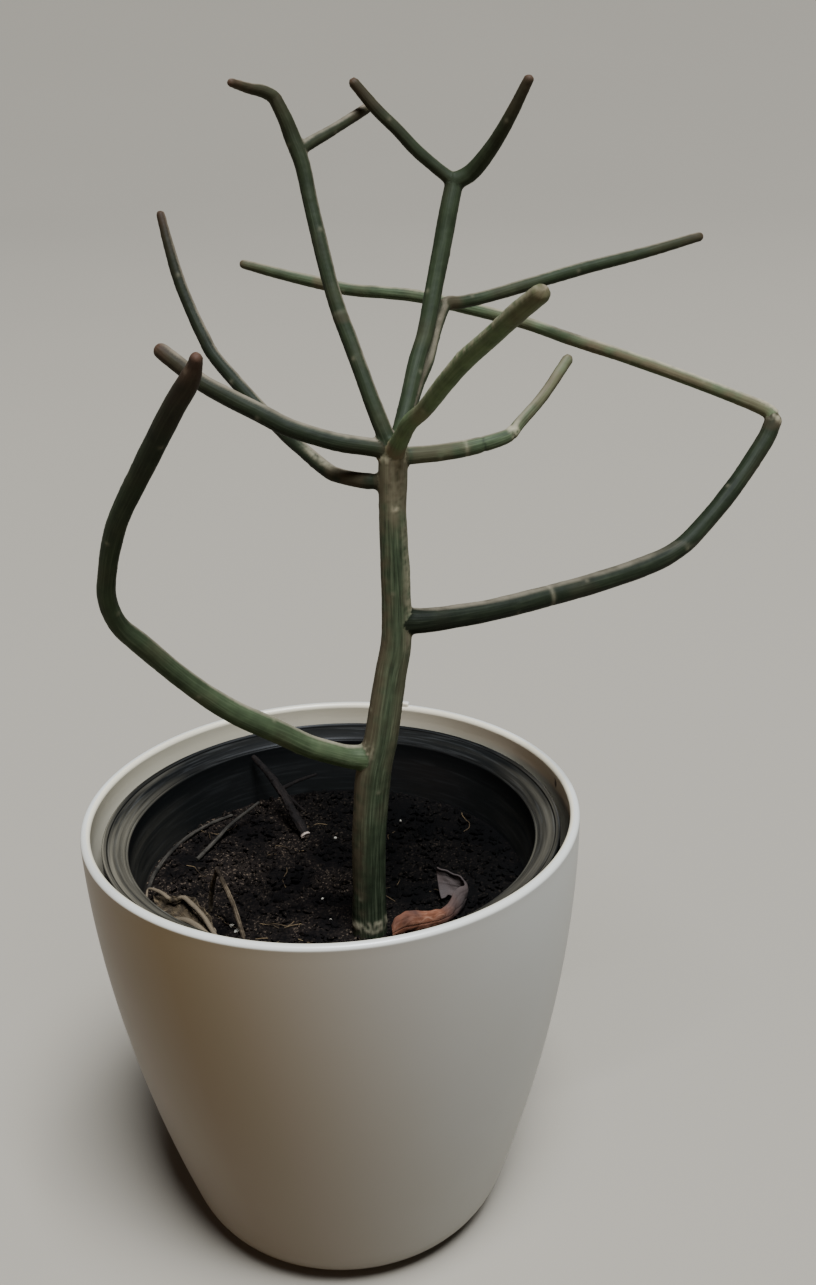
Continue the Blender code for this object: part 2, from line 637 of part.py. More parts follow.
def main():
    clear_scene()
    build_planter()
    build_liner()
    build_soil()
    build_plant()
    build_debris()


main()
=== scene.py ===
"""Looks of the potted pencil cactus: its stems, soil and dead matter, the two pots and a plain studio.

Lengths are metres, except in the rows and marks of stems, stalks, leaves and grains, which are millimetres.
+Z is up, the origin is the middle of the planter's underside, and the viewer stands at -Y.
"""

import logging
import math
import random
from collections.abc import Sequence
from dataclasses import dataclass
from enum import Enum

import bpy
import numpy as np
from mathutils import Matrix, Vector, noise
from mathutils.bvhtree import BVHTree


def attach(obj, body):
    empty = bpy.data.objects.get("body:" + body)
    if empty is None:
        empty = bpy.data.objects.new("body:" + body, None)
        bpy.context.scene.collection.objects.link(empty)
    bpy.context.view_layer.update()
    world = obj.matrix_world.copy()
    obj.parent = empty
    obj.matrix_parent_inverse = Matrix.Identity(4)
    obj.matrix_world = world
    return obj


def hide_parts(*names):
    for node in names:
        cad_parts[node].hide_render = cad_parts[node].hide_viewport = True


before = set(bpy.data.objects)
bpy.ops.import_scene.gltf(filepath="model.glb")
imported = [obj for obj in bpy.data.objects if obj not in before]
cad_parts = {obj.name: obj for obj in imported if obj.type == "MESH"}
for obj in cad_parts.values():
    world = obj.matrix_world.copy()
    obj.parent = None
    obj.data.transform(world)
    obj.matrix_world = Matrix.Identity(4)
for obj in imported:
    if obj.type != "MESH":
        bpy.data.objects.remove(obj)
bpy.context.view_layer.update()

log = logging.getLogger("potted_pencil_cactus")

MM = 0.001
ROOT = "root"
GOLDEN_ANGLE = math.pi * (3.0 - math.sqrt(5.0))
TINY = 1e-9
UP = (0.0, 0.0, 1.0)
LEVEL = (1.0, 1.0, 0.0)

Span = tuple[float, float]
Point = tuple[float, float]
Triple = tuple[float, float, float]
Row = tuple[float, float, float, float]
Socket = bpy.types.NodeSocket
Tree = bpy.types.NodeTree


# Working in Blender as by hand


def activate(*objects: bpy.types.Object) -> None:
    """Deselects everything, then selects the given objects and makes the first one active.

    Args:
        *objects: The objects to select.
    """
    for other in bpy.context.selected_objects:
        other.select_set(False)
    for chosen in objects:
        chosen.select_set(True)
    bpy.context.view_layer.objects.active = objects[0]


def apply_modifier(target: bpy.types.Object, kind: str, **settings: object) -> None:
    """Adds a modifier to an object and applies it.

    Args:
        target: The object to change.
        kind: The modifier's type, such as "BEVEL".
        **settings: The modifier's properties.
    """
    activate(target)
    modifier = target.modifiers.new(kind.lower(), kind)
    for name, value in settings.items():
        setattr(modifier, name, value)
    bpy.ops.object.modifier_apply(modifier=modifier.name)


def joined(parts: Sequence[bpy.types.Object], name: str) -> bpy.types.Object:
    """Joins several objects into the first one.

    Args:
        parts: The objects to join.
        name: The name of the result.

    Returns:
        The joined object.
    """
    activate(*parts)
    bpy.ops.object.join()
    parts[0].name = name
    parts[0].data.name = name
    return parts[0]


def settled(target: bpy.types.Object, name: str, smooth_deg: float = 40.0) -> bpy.types.Object:
    """Puts an object's place into its mesh, names it and shades it smooth.

    Args:
        target: The finished object.
        name: Its name.
        smooth_deg: Edges sharper than this stay sharp, in degrees.

    Returns:
        The same object, at the origin, unturned and unscaled.
    """
    activate(target)
    bpy.ops.object.transform_apply(location=True, rotation=True, scale=True)
    bpy.ops.object.shade_smooth_by_angle(angle=math.radians(smooth_deg))
    target.name = name
    target.data.name = name
    return target


def turned(name: str, outline: Sequence[Point], steps: int) -> bpy.types.Object:
    """Spins a (radius, height) outline, which starts and ends on the axis, about Z.

    Args:
        name: The object's name.
        outline: Points of the outline in order.
        steps: How many steps the full turn has.

    Returns:
        The closed, turned object.
    """
    first = Vector((outline[0][0], 0.0, outline[0][1]))
    bpy.ops.mesh.primitive_plane_add(size=MM, location=first)
    made = bpy.context.object
    bpy.ops.object.mode_set(mode="EDIT")
    bpy.ops.mesh.select_all(action="SELECT")
    bpy.ops.mesh.merge(type="CENTER")
    for (radius, height), (next_radius, next_height) in zip(outline, outline[1:]):
        move = (next_radius - radius, 0.0, next_height - height)
        bpy.ops.mesh.extrude_vertices_move(TRANSFORM_OT_translate={"value": move})
    bpy.ops.mesh.select_all(action="SELECT")
    bpy.ops.mesh.spin(steps=steps, angle=math.tau, center=(0, 0, 0), axis=(0, 0, 1))
    bpy.ops.mesh.select_all(action="SELECT")
    bpy.ops.mesh.remove_doubles(threshold=0.01 * MM)
    bpy.ops.mesh.normals_make_consistent(inside=False)
    bpy.ops.object.mode_set(mode="OBJECT")
    return settled(made, name)


def arc(centre: Point, radius: float, start_deg: float, end_deg: float, steps: int) -> list[Point]:
    """Points of an arc in a turned outline's plane, with both ends.

    Args:
        centre: The arc's centre as (radius, height).
        radius: The arc's own radius.
        start_deg: Where it starts, in degrees from outward.
        end_deg: Where it ends.
        steps: How many steps it has.

    Returns:
        The (radius, height) points.
    """
    turns = [math.radians(start_deg + (end_deg - start_deg) * step / steps) for step in range(steps + 1)]
    return [(centre[0] + radius * math.cos(a), centre[1] + radius * math.sin(a)) for a in turns]


def noise_at(points: np.ndarray, size: float, offset: float = 0.0) -> np.ndarray:
    """Smooth noise from -1 to 1 at many points.

    Args:
        points: An array of points, one a row, in metres.
        size: The size of the noise's lumps, in metres.
        offset: Moves the noise, so that two fields differ.

    Returns:
        One value for each point.
    """
    shift = Vector((offset, offset * 1.7, -offset))
    return np.array([noise.noise(Vector(point) + shift) for point in points / size])


def coordinates(target: bpy.types.Object, kind: str = "co") -> np.ndarray:
    """An object's vertex places, or normals, as an array.

    Args:
        target: A mesh object.
        kind: "co" or "normal".

    Returns:
        One row of three numbers for each vertex.
    """
    values = np.empty(len(target.data.vertices) * 3)
    if kind == "normal":
        target.data.vertex_normals.foreach_get("vector", values)
    else:
        target.data.vertices.foreach_get("co", values)
    return values.reshape(-1, 3)


def move_to(target: bpy.types.Object, places: np.ndarray) -> None:
    """Moves an object's vertices to new places.

    Args:
        target: A mesh object.
        places: One row of three numbers for each vertex.
    """
    target.data.vertices.foreach_set("co", places.reshape(-1))
    target.data.update()


def write_attribute(target: bpy.types.Object, name: str, values: np.ndarray) -> None:
    """Stores a value of one, three or four numbers on each vertex.

    Args:
        target: A mesh object.
        name: The attribute's name.
        values: One row for each vertex.
    """
    kinds = {1: ("FLOAT", "value"), 3: ("FLOAT_VECTOR", "vector"), 4: ("FLOAT_COLOR", "color")}
    kind, member = kinds[values.reshape(len(values), -1).shape[1]]
    attribute = target.data.attributes.new(name, kind, "POINT")
    attribute.data.foreach_set(member, values.astype(np.float32).reshape(-1))


# Materials


def linear(colour: str) -> Row:
    """Turns an sRGB hex colour such as "#8a9a6b" into linear light.

    Args:
        colour: The hex colour.

    Returns:
        Red, green, blue and alpha.
    """
    parts = [int(colour[start : start + 2], 16) / 255.0 for start in (1, 3, 5)]
    red, green, blue = (p / 12.92 if p <= 0.04045 else ((p + 0.055) / 1.055) ** 2.4 for p in parts)
    return red, green, blue, 1.0


def add(
    tree: Tree,
    kind: str,
    inputs: dict[str | int, object] | None = None,
    out: str | None = None,
    **settings: object,
) -> Socket:
    """Adds a node with its settings, values and links.

    Args:
        tree: The material's node tree.
        kind: The node's type without its "ShaderNode" prefix.
        inputs: A value, a hex colour or another node's output for each socket, by its name or number. "From"
            and "To" take a pair, for the sockets whose names end in Min and Max.
        out: The name of the output to return; otherwise the first one in use.
        **settings: The node's properties.

    Returns:
        The node's output socket.
    """
    node = tree.nodes.new("ShaderNode" + kind)
    for name, value in settings.items():
        setattr(node, name, value)
    values = dict(inputs or {})
    for end in ("From", "To"):
        if end in values:
            values[f"{end} Min"], values[f"{end} Max"] = values.pop(end)
    for key, value in values.items():
        if isinstance(key, int):
            socket = node.inputs[key]
        else:
            socket = next(s for s in node.inputs if s.enabled and s.name == key)
        if isinstance(value, Socket):
            tree.links.new(value, socket)
        else:
            socket.default_value = linear(value) if isinstance(value, str) else value
    return node.outputs[out] if out else next(s for s in node.outputs if s.enabled)


@dataclass(frozen=True)
class Layer:
    """A colour over the ones below it: how much of it shows, what it is, and how it blends with them."""

    share: Socket | float
    colour: Socket | str
    blend: str = "MIX"


Drawn = tuple[tuple[Layer, ...], dict[str, Socket]]


@dataclass(frozen=True)
class Finish:
    """One real material: its name, its ground colour, its reflection values and the nodes that draw it.

    A pattern's sizes are real ones, in metres. Its edge is the span of noise, or of the other value that it
    follows, over which it sets in, and its share is how much of it shows at either end. The relief is how
    strongly its bumps show.
    """

    name: str
    colour: str
    roughness: float
    ior: float = 1.45
    specular: float = 0.5
    relief: float = 0.6

    def material(self) -> bpy.types.Material:
        """Makes the material, or finds the one made before.

        Returns:
            The material.
        """
        made = bpy.data.materials.get(self.name)
        if made is None:
            made = bpy.data.materials.new(self.name)
            made.use_nodes = True
            tree = made.node_tree
            shader = tree.nodes["Principled BSDF"]
            shader.inputs["Metallic"].default_value = 0.0
            shader.inputs["IOR"].default_value = self.ior
            shader.inputs["Roughness"].default_value = self.roughness
            shader.inputs["Specular IOR Level"].default_value = self.specular
            layers, outputs = self.draw(tree)
            colour = self.colour
            for over in layers:
                mixed = {"Factor": over.share, "A": colour, "B": over.colour}
                colour = add(tree, "Mix", mixed, data_type="RGBA", blend_type=over.blend)
            tree.links.new(colour, shader.inputs["Base Color"])
            for name, output in outputs.items():
                tree.links.new(output, shader.inputs[name])
        return made

    def draw(self, tree: Tree) -> Drawn:
        """Adds the nodes that colour and roughen the material.

        Args:
            tree: The material's node tree.

        Returns:
            The colours over the ground colour, lowest first, and the outputs for the shader's other sockets.
        """
        raise NotImplementedError

    def dress(self, target: bpy.types.Object, name: str, smooth_deg: float = 40.0) -> bpy.types.Object:
        """Gives an object this one material and settles it.

        Args:
            target: The finished object.
            name: Its name.
            smooth_deg: Edges sharper than this stay sharp, in degrees.

        Returns:
            The same object.
        """
        target.data.materials.clear()
        target.data.materials.append(self.material())
        return settled(target, name, smooth_deg)


@dataclass(frozen=True)
class MouldedPolypropylene(Finish):
    """Injection-moulded polypropylene, satin: off-white with a soft, wide sheen and faint flow clouds.

    The outer wall has painted shade all over it, darkest and warm brown on the left, grey on the right, and
    dust low down. The inside is painted lighter and warmer, as painted light, with one dark speck near the
    rim on the right.
    """

    name: str = "polypropylene_moulded_satin"
    colour: str = "#a8a8a3"
    roughness: float = 0.36
    ior: float = 1.49
    relief: float = 0.35
    sheen: Span = (0.32, 0.41)
    cloud_colour: str = "#a29f94"
    cloud_size: float = 0.060
    dust_colour: str = "#8b7c61"
    dust_size: float = 0.004
    dust_height: Span = (0.045, 0.0)
    dust_share: Span = (0.0, 0.25)
    outside: Span = (0.005, 0.020)
    inside: Span = (-0.010, -0.040)
    # Painted light: the inside is made lighter and warmer than the plastic
    inside_light_colour: str = "#b8b09b"
    steepness: Span = (0.45, 0.05)
    # Painted shade on the outer wall: its colours, the side where it is darkest, and its share
    left_shade_colour: str = "#544222"
    right_shade_colour: str = "#616264"
    shaded_side: Triple = (-0.84, -0.40, -0.36)
    shade_turn: Span = (-0.7, 0.85)
    shade_share: Span = (0.28, 1.0)
    speck_colour: str = "#2a1c11"
    speck_place: Triple = (0.0946, 0.0197, 0.1838)
    speck_shape: Triple = (1.0, 1.0, 0.45)
    speck_fraying: float = 0.0016
    speck_edge: Span = (0.0016, 0.0020)
    # A moulded grain is about 0.2 mm wide, and is drawn coarser here so that it shows
    grain_size: float = 0.0009
    grain_height: float = 0.00001

    def draw(self, tree: Tree) -> Drawn:
        """Clouds, dust, painted shade outside, painted light inside, the speck and a fine moulded grain.

        Args:
            tree: The material's node tree.

        Returns:
            The colours over the white, and the outputs for the shader's other sockets.
        """
        place = add(tree, "TexCoord", out="Object")
        cloud = add(tree, "TexNoise", {"Vector": place, "Scale": 1 / self.cloud_size, "Detail": 3.0})
        speckle = add(tree, "TexNoise", {"Vector": place, "Scale": 1 / self.dust_size, "Detail": 6.0})
        height = add(tree, "SeparateXYZ", {"Vector": place}, out="Z")
        low = add(tree, "MapRange", {"Value": height, "From": self.dust_height, "To": self.dust_share})
        dust = add(tree, "Math", {0: low, 1: speckle}, operation="MULTIPLY")
        normal = add(tree, "NewGeometry", out="Normal")
        level = add(tree, "VectorMath", {0: place, 1: LEVEL}, operation="MULTIPLY")
        outward = add(tree, "VectorMath", {0: normal, 1: level}, out="Value", operation="DOT_PRODUCT")
        outside = add(tree, "MapRange", {"Value": outward, "From": self.outside})
        # Painted light on the faces that look inward
        inside = add(tree, "MapRange", {"Value": outward, "From": self.inside})
        upward = add(tree, "SeparateXYZ", {"Vector": normal}, out="Z")
        steep = add(tree, "MapRange", {"Value": upward, "From": self.steepness})
        wall = add(tree, "Math", {0: steep, 1: outside}, operation="MULTIPLY")
        # Painted shade: the outer wall is darkened, most where it faces left, away from the light
        facing = add(tree, "VectorMath", {0: normal, 1: self.shaded_side}, out="Value", operation="DOT_PRODUCT")
        leftness = add(tree, "MapRange", {"Value": facing, "From": self.shade_turn})
        thickness = add(tree, "MapRange", {"Value": leftness, "To": self.shade_share})
        wall_shade = add(tree, "Math", {0: thickness, 1: wall}, operation="MULTIPLY")
        sides = {"Factor": leftness, "A": self.right_shade_colour, "B": self.left_shade_colour}
        shade_tint = add(tree, "Mix", sides, data_type="RGBA")
        away = add(tree, "VectorMath", {0: place, 1: self.speck_place}, operation="SUBTRACT")
        shaped = add(tree, "VectorMath", {0: away, 1: self.speck_shape}, operation="MULTIPLY")
        reach = add(tree, "VectorMath", {0: shaped}, out="Value", operation="LENGTH")
        frayed = add(tree, "Math", {0: speckle, 1: self.speck_fraying, 2: reach}, operation="MULTIPLY_ADD")
        speck = add(tree, "MapRange", {"Value": frayed, "From": self.speck_edge, "To": (1.0, 0.0)})
        worn = add(tree, "MapRange", {"Value": cloud, "To": self.sheen})
        grain = add(tree, "TexNoise", {"Vector": place, "Scale": 1 / self.grain_size, "Detail": 1.0})
        bump = add(tree, "Bump", {"Height": grain, "Strength": self.relief, "Distance": self.grain_height})
        layers = (
            Layer(cloud, self.cloud_colour),
            Layer(dust, self.dust_colour),
            Layer(inside, self.inside_light_colour),
            Layer(wall_shade, shade_tint),
            Layer(speck, self.speck_colour),
        )
        return layers, {"Roughness": worn, "Normal": bump}


@dataclass(frozen=True)
class NurseryPlastic(Finish):
    """Thin recycled black polypropylene: dull, scuffed in rings as if turned, brown with dried dust.

    The dust on the left, and a painted reflection on the right flange drawn in the dust's colour, each have
    their direction, the distances from the axis over which they set in, and their share.
    The scuffs have a share on upright walls and a gain toward level faces.
    """

    name: str = "polypropylene_recycled_black"
    colour: str = "#090a0a"
    roughness: float = 0.42
    ior: float = 1.49
    specular: float = 0.09
    relief: float = 0.3
    level_edge: Span = (0.2, 0.95)
    scuff_colour: str = "#2d2e2e"
    scuff_length: float = 0.020
    scuff_width: float = 0.0012
    scuff_edge: Span = (0.52, 0.72)
    scuff_share: Span = (0.0, 0.6)
    scuff_upright: float = 0.08
    scuff_gain: float = 0.9
    scuff_height: float = 0.00004
    dust_colour: str = "#6a6456"
    dust_strips: Triple = (1.1, 1.1, 1 / 0.0030)
    dust_edge: Span = (0.32, 0.68)
    dust_left: tuple[Triple, Span, Span] = ((-0.98, -0.18, 0.0), (0.050, 0.090), (0.0, 0.62))
    # Not dust: a painted reflection, the paler band on the right flange
    right_reflection: tuple[Triple, Span, Span] = ((0.96, -0.28, 0.0), (0.055, 0.095), (0.0, 0.42))
    dust_everywhere: float = 0.03
    dust_roughness: float = 0.5
    pot_radius: float = 0.09

    def draw(self, tree: Tree) -> Drawn:
        """Dust, most on the left, a painted reflection on the right flange, and scuffs that run round the
        pot.

        Args:
            tree: The material's node tree.

        Returns:
            The colours over the black, and the outputs for the shader's other sockets.
        """
        place = add(tree, "TexCoord", out="Object")
        level = add(tree, "VectorMath", {0: place, 1: LEVEL}, operation="MULTIPLY")
        radius = add(tree, "VectorMath", {0: level}, out="Value", operation="LENGTH")
        height = add(tree, "SeparateXYZ", {"Vector": place}, out="Z")
        profile = add(tree, "CombineXYZ", {"Z": add(tree, "Math", {0: radius, 1: height}, operation="ADD")})
        heading = add(tree, "VectorMath", {0: level}, operation="NORMALIZE")
        around = add(tree, "VectorMath", {0: heading, 1: profile}, operation="ADD")
        turns = self.pot_radius / self.scuff_length
        rings = add(tree, "Mapping", {"Vector": around, "Scale": (turns, turns, 1 / self.scuff_width)})
        scuff = add(tree, "TexNoise", {"Vector": rings, "Scale": 1.0, "Detail": 3.0})
        rubbed = add(tree, "MapRange", {"Value": scuff, "From": self.scuff_edge, "To": self.scuff_share})
        normal = add(tree, "NewGeometry", out="Normal")
        upward = add(tree, "SeparateXYZ", {"Vector": normal}, out="Z")
        facing = add(tree, "MapRange", {"Value": upward, "From": self.level_edge})
        exposure = {0: facing, 1: self.scuff_gain, 2: self.scuff_upright}
        exposed = add(tree, "Math", exposure, operation="MULTIPLY_ADD")
        scuffed = add(tree, "Math", {0: rubbed, 1: exposed}, operation="MULTIPLY")
        sides = []
        # The left share is dust, the right one a painted reflection
        for toward, reach, share in (self.dust_left, self.right_reflection):
            aside = add(tree, "VectorMath", {0: place, 1: toward}, out="Value", operation="DOT_PRODUCT")
            sides.append(add(tree, "MapRange", {"Value": aside, "From": reach, "To": share}))
        near = add(tree, "Math", {0: sides[0], 1: sides[1]}, operation="MAXIMUM")
        strips = add(tree, "Mapping", {"Vector": around, "Scale": self.dust_strips})
        patch = add(tree, "TexNoise", {"Vector": strips, "Scale": 1.0, "Detail": 5.0})
        patched = add(tree, "MapRange", {"Value": patch, "From": self.dust_edge})
        spread = add(tree, "Math", {0: near, 1: self.dust_everywhere}, operation="ADD")
        cover = add(tree, "Math", {0: facing, 1: patched}, operation="MULTIPLY")
        dust = add(tree, "Math", {0: cover, 1: spread}, operation="MULTIPLY")
        dulling = {0: dust, 1: self.dust_roughness, 2: self.roughness}
        rough = add(tree, "Math", dulling, operation="MULTIPLY_ADD")
        bump = add(tree, "Bump", {"Height": scuff, "Strength": self.relief, "Distance": self.scuff_height})
        layers = (Layer(scuffed, self.scuff_colour), Layer(dust, self.dust_colour))
        return layers, {"Roughness": rough, "Normal": bump}


@dataclass(frozen=True)
class PottingMix(Finish):
    """Peat and coir potting mix: matt, nearly black-brown crumbs, paler where dry, with pale flecks.

    The right part of the mix is painted black: a painted shadow, cast by the pot's right wall.
    """

    name: str = "potting_mix_peat"
    colour: str = "#040303"
    roughness: float = 0.92
    ior: float = 1.35
    specular: float = 0.10
    relief: float = 0.8
    patch_size: float = 0.018
    crumb_size: float = 0.0014
    dry_colour: str = "#17120f"
    dry_edge: Span = (0.18, 0.40)
    fleck_colour: str = "#4c4136"
    fleck_size: float = 0.0011
    fleck_edge: Span = (0.58, 0.68)
    fleck_share: Span = (0.0, 0.8)
    fleck_patches: Span = (0.42, 0.60)
    # Painted shadow on the right part of the mix: its colour, side, fraying, edge and share
    shadow_colour: str = "#010101"
    shadow_side: Triple = (0.94, 0.34, 0.0)
    shadow_fraying: float = 0.02
    shadow_edge: Span = (0.005, 0.035)
    shadow_share: Span = (0.0, 0.8)
    grit_size: float = 0.0006
    grit_height: float = 0.0003

    def draw(self, tree: Tree) -> Drawn:
        """Crumbs, the drier ones paler, patches of flecks, the painted shadow on the right and the grit's
        relief.

        Args:
            tree: The material's node tree.

        Returns:
            The colours over the black-brown, and the outputs for the shader's other sockets.
        """
        place = add(tree, "TexCoord", out="Object")
        patch = add(tree, "TexNoise", {"Vector": place, "Scale": 1 / self.patch_size, "Detail": 4.0})
        crumb = add(tree, "TexNoise", {"Vector": place, "Scale": 1 / self.crumb_size, "Detail": 5.0})
        both = add(tree, "Math", {0: patch, 1: crumb}, operation="MULTIPLY")
        dry = add(tree, "MapRange", {"Value": both, "From": self.dry_edge})
        fleck = add(tree, "TexNoise", {"Vector": place, "Scale": 1 / self.fleck_size, "Detail": 2.0})
        flecks = add(tree, "MapRange", {"Value": fleck, "From": self.fleck_edge, "To": self.fleck_share})
        strewn = add(tree, "MapRange", {"Value": patch, "From": self.fleck_patches})
        shown = add(tree, "Math", {0: flecks, 1: strewn}, operation="MULTIPLY")
        # Painted shadow: the mix goes black toward its right side
        aside = add(tree, "VectorMath", {0: place, 1: self.shadow_side}, out="Value", operation="DOT_PRODUCT")
        edge = add(tree, "Math", {0: patch, 1: self.shadow_fraying, 2: aside}, operation="MULTIPLY_ADD")
        painted_shadow = add(tree, "MapRange", {"Value": edge, "From": self.shadow_edge, "To": self.shadow_share})
        grit = add(tree, "TexNoise", {"Vector": place, "Scale": 1 / self.grit_size, "Detail": 3.0})
        bump = add(tree, "Bump", {"Height": grit, "Strength": self.relief, "Distance": self.grit_height})
        layers = (Layer(dry, self.dry_colour), Layer(shown, self.fleck_colour), Layer(painted_shadow, self.shadow_colour))
        return layers, {"Normal": bump}


@dataclass(frozen=True)
class SucculentSkin(Finish):
    """Waxy skin of a pencil cactus: grey-green, finely lined lengthwise, corky and brown where it is old.

    The side that faces the light has a painted highlight, a matt grey-brown, and the tips are brown. Each
    stem is darkened by painted shade, and so are the furrows between its pale lines.
    """

    name: str = "euphorbia_skin_waxy"
    colour: str = "#465335"
    roughness: float = 0.62
    ior: float = 1.42
    specular: float = 0.12
    relief: float = 0.55
    old_colour: str = "#3f4a35"
    # The colour that the painted shade darkens the skin to
    dark_colour: str = "#0a0e06"
    mottle_size: float = 0.006
    mottle_edge: Span = (0.3, 0.7)
    mottle_tone: Span = (0.75, 1.2)
    line_colour: str = "#575d48"
    line_width: float = 0.0007
    line_length: float = 0.018
    line_edge: Span = (0.50, 0.72)
    line_share: Span = (0.75, 0.12)
    # Painted shade in the furrows between the pale lines: where it sets in and how dark it gets
    furrow_shade_edge: Span = (0.48, 0.34)
    furrow_shade_depth: Span = (0.0, 0.60)
    furrow_in_shade: float = -0.6
    cork_colour: str = "#544636"
    cork_roughness: float = 0.3
    cork_in_shade: float = 0.5
    scar_colour: str = "#8a826c"
    # Painted highlight on the side that faces the light: its colour, strength on pale and shaded skin,
    # patches
    highlight_colour: str = "#877c6b"
    highlight_strength: Span = (0.68, 0.4896)
    faded_edge: Span = (0.35, 0.60)
    highlight_patches: Span = (0.55, 1.0)
    tip_colour: str = "#463126"
    ridge_height: float = 0.00025

    def draw(self, tree: Tree) -> Drawn:
        """Age, painted shade, pale lines, painted shade in furrows, cork, scars, a painted highlight and
        brown tips.

        Args:
            tree: The material's node tree.

        Returns:
            The colours over the young green, and the outputs for the shader's other sockets.
        """
        skin = add(tree, "Attribute", out="Color", attribute_name="skin")
        split = add(tree, "SeparateColor", {"Color": skin}).node
        age, tip, scar = (split.outputs[name] for name in ("Red", "Green", "Blue"))
        cork = add(tree, "Attribute", out="Alpha", attribute_name="skin")
        grain = add(tree, "Attribute", out="Vector", attribute_name="grain")
        # Painted shade, partly each stem's own darker green
        deep = add(tree, "Attribute", out="Fac", attribute_name="shade")
        highlit = add(tree, "Attribute", out="Fac", attribute_name="highlight_side")
        stretch = (1 / self.line_width, 1 / self.line_width, 1 / self.line_length)
        lengthwise = add(tree, "Mapping", {"Vector": grain, "Scale": stretch})
        lines = add(tree, "TexNoise", {"Vector": lengthwise, "Scale": 1.0, "Detail": 2.5})
        lined = add(tree, "MapRange", {"Value": lines, "From": self.line_edge})
        aged_line = add(tree, "Math", {0: lined, 1: age}, operation="MULTIPLY")
        pale_share = add(tree, "MapRange", {"Value": deep, "To": self.line_share})
        pale = add(tree, "Math", {0: aged_line, 1: pale_share}, operation="MULTIPLY")
        mottle = add(tree, "TexNoise", {"Vector": grain, "Scale": 1 / self.mottle_size, "Detail": 4.0})
        cloudy = add(tree, "MapRange", {"Value": mottle, "From": self.mottle_edge, "To": self.mottle_tone})
        # Painted shade: the furrows between the pale lines are darkened, more on old skin, less on shaded
        # stems
        low = add(tree, "MapRange", {"Value": lines, "From": self.furrow_shade_edge, "To": self.furrow_shade_depth})
        clear = add(tree, "Math", {0: deep, 1: self.furrow_in_shade, 2: age}, operation="MULTIPLY_ADD")
        furrow_shade = add(tree, "Math", {0: low, 1: clear}, operation="MULTIPLY", use_clamp=True)
        unshaded = add(tree, "Math", {0: 1.0, 1: furrow_shade}, operation="SUBTRACT")
        # Cork is darkened with the painted shade too
        darkening = add(tree, "Math", {0: deep, 1: self.cork_in_shade}, operation="MULTIPLY")
        barks = {"Factor": darkening, "A": self.cork_colour, "B": self.dark_colour}
        bark = add(tree, "Mix", barks, data_type="RGBA")
        # Painted highlight: the side that faces the light is paler, in patches, and less so on shaded stems
        highlight_level = add(tree, "MapRange", {"Value": deep, "To": self.highlight_strength})
        exposed = add(tree, "Math", {0: highlit, 1: highlight_level}, operation="MULTIPLY")
        patchy = add(tree, "MapRange", {"Value": mottle, "From": self.faded_edge, "To": self.highlight_patches})
        bleached = add(tree, "Math", {0: exposed, 1: patchy}, operation="MULTIPLY")
        dulling = {0: cork, 1: self.cork_roughness, 2: self.roughness}
        dull = add(tree, "Math", dulling, operation="MULTIPLY_ADD")
        ridges = add(tree, "Math", {0: lines, 1: mottle}, operation="ADD")
        bump = add(tree, "Bump", {"Height": ridges, "Strength": self.relief, "Distance": self.ridge_height})
        layers = (
            Layer(age, self.old_colour),
            Layer(deep, self.dark_colour),
            Layer(1.0, cloudy, "MULTIPLY"),
            Layer(pale, self.line_colour),
            Layer(1.0, unshaded, "MULTIPLY"),
            Layer(cork, bark),
            Layer(scar, self.scar_colour),
            Layer(bleached, self.highlight_colour),
            Layer(tip, self.tip_colour),
        )
        return layers, {"Roughness": dull, "Normal": bump}


@dataclass(frozen=True)
class DryPlantFibre(Finish):
    """Dead plant matter: fibres along its length, some bleached, dark blotches, grey where it faded."""

    name: str = "dry_plant_fibre"
    colour: str = "#7d6a4e"
    roughness: float = 0.80
    ior: float = 1.40
    specular: float = 0.2
    pale_colour: str = "#b3a07e"
    dark_colour: str = "#3d3021"
    faded_colour: str = "#77736c"
    fibre_width: float = 0.0004
    fibre_length: float = 0.009
    fibre_edge: Span = (0.45, 0.7)
    fibre_height: float = 0.0002
    blotch_size: float = 0.006
    blotch_edge: Span = (0.42, 0.68)

    def draw(self, tree: Tree) -> Drawn:
        """Fibres and blotches between the dark and the pale colour, with their relief.

        Args:
            tree: The material's node tree.

        Returns:
            The colours over the middle one, and the outputs for the shader's other sockets.
        """
        grain = add(tree, "Attribute", out="Vector", attribute_name="grain")
        stretch = (1 / self.fibre_width, 1 / self.fibre_width, 1 / self.fibre_length)
        lengthwise = add(tree, "Mapping", {"Vector": grain, "Scale": stretch})
        fibre = add(tree, "TexNoise", {"Vector": lengthwise, "Scale": 1.0, "Detail": 3.0})
        place = add(tree, "TexCoord", out="Object")
        blotch = add(tree, "TexNoise", {"Vector": place, "Scale": 1 / self.blotch_size, "Detail": 4.0})
        bleached = add(tree, "MapRange", {"Value": fibre, "From": self.fibre_edge})
        stained = add(tree, "MapRange", {"Value": blotch, "From": self.blotch_edge})
        faded = add(tree, "Attribute", out="Fac", attribute_name="fade")
        bump = add(tree, "Bump", {"Height": fibre, "Strength": self.relief, "Distance": self.fibre_height})
        layers = (
            Layer(bleached, self.pale_colour),
            Layer(stained, self.dark_colour),
            Layer(faded, self.faded_colour),
        )
        return layers, {"Normal": bump}


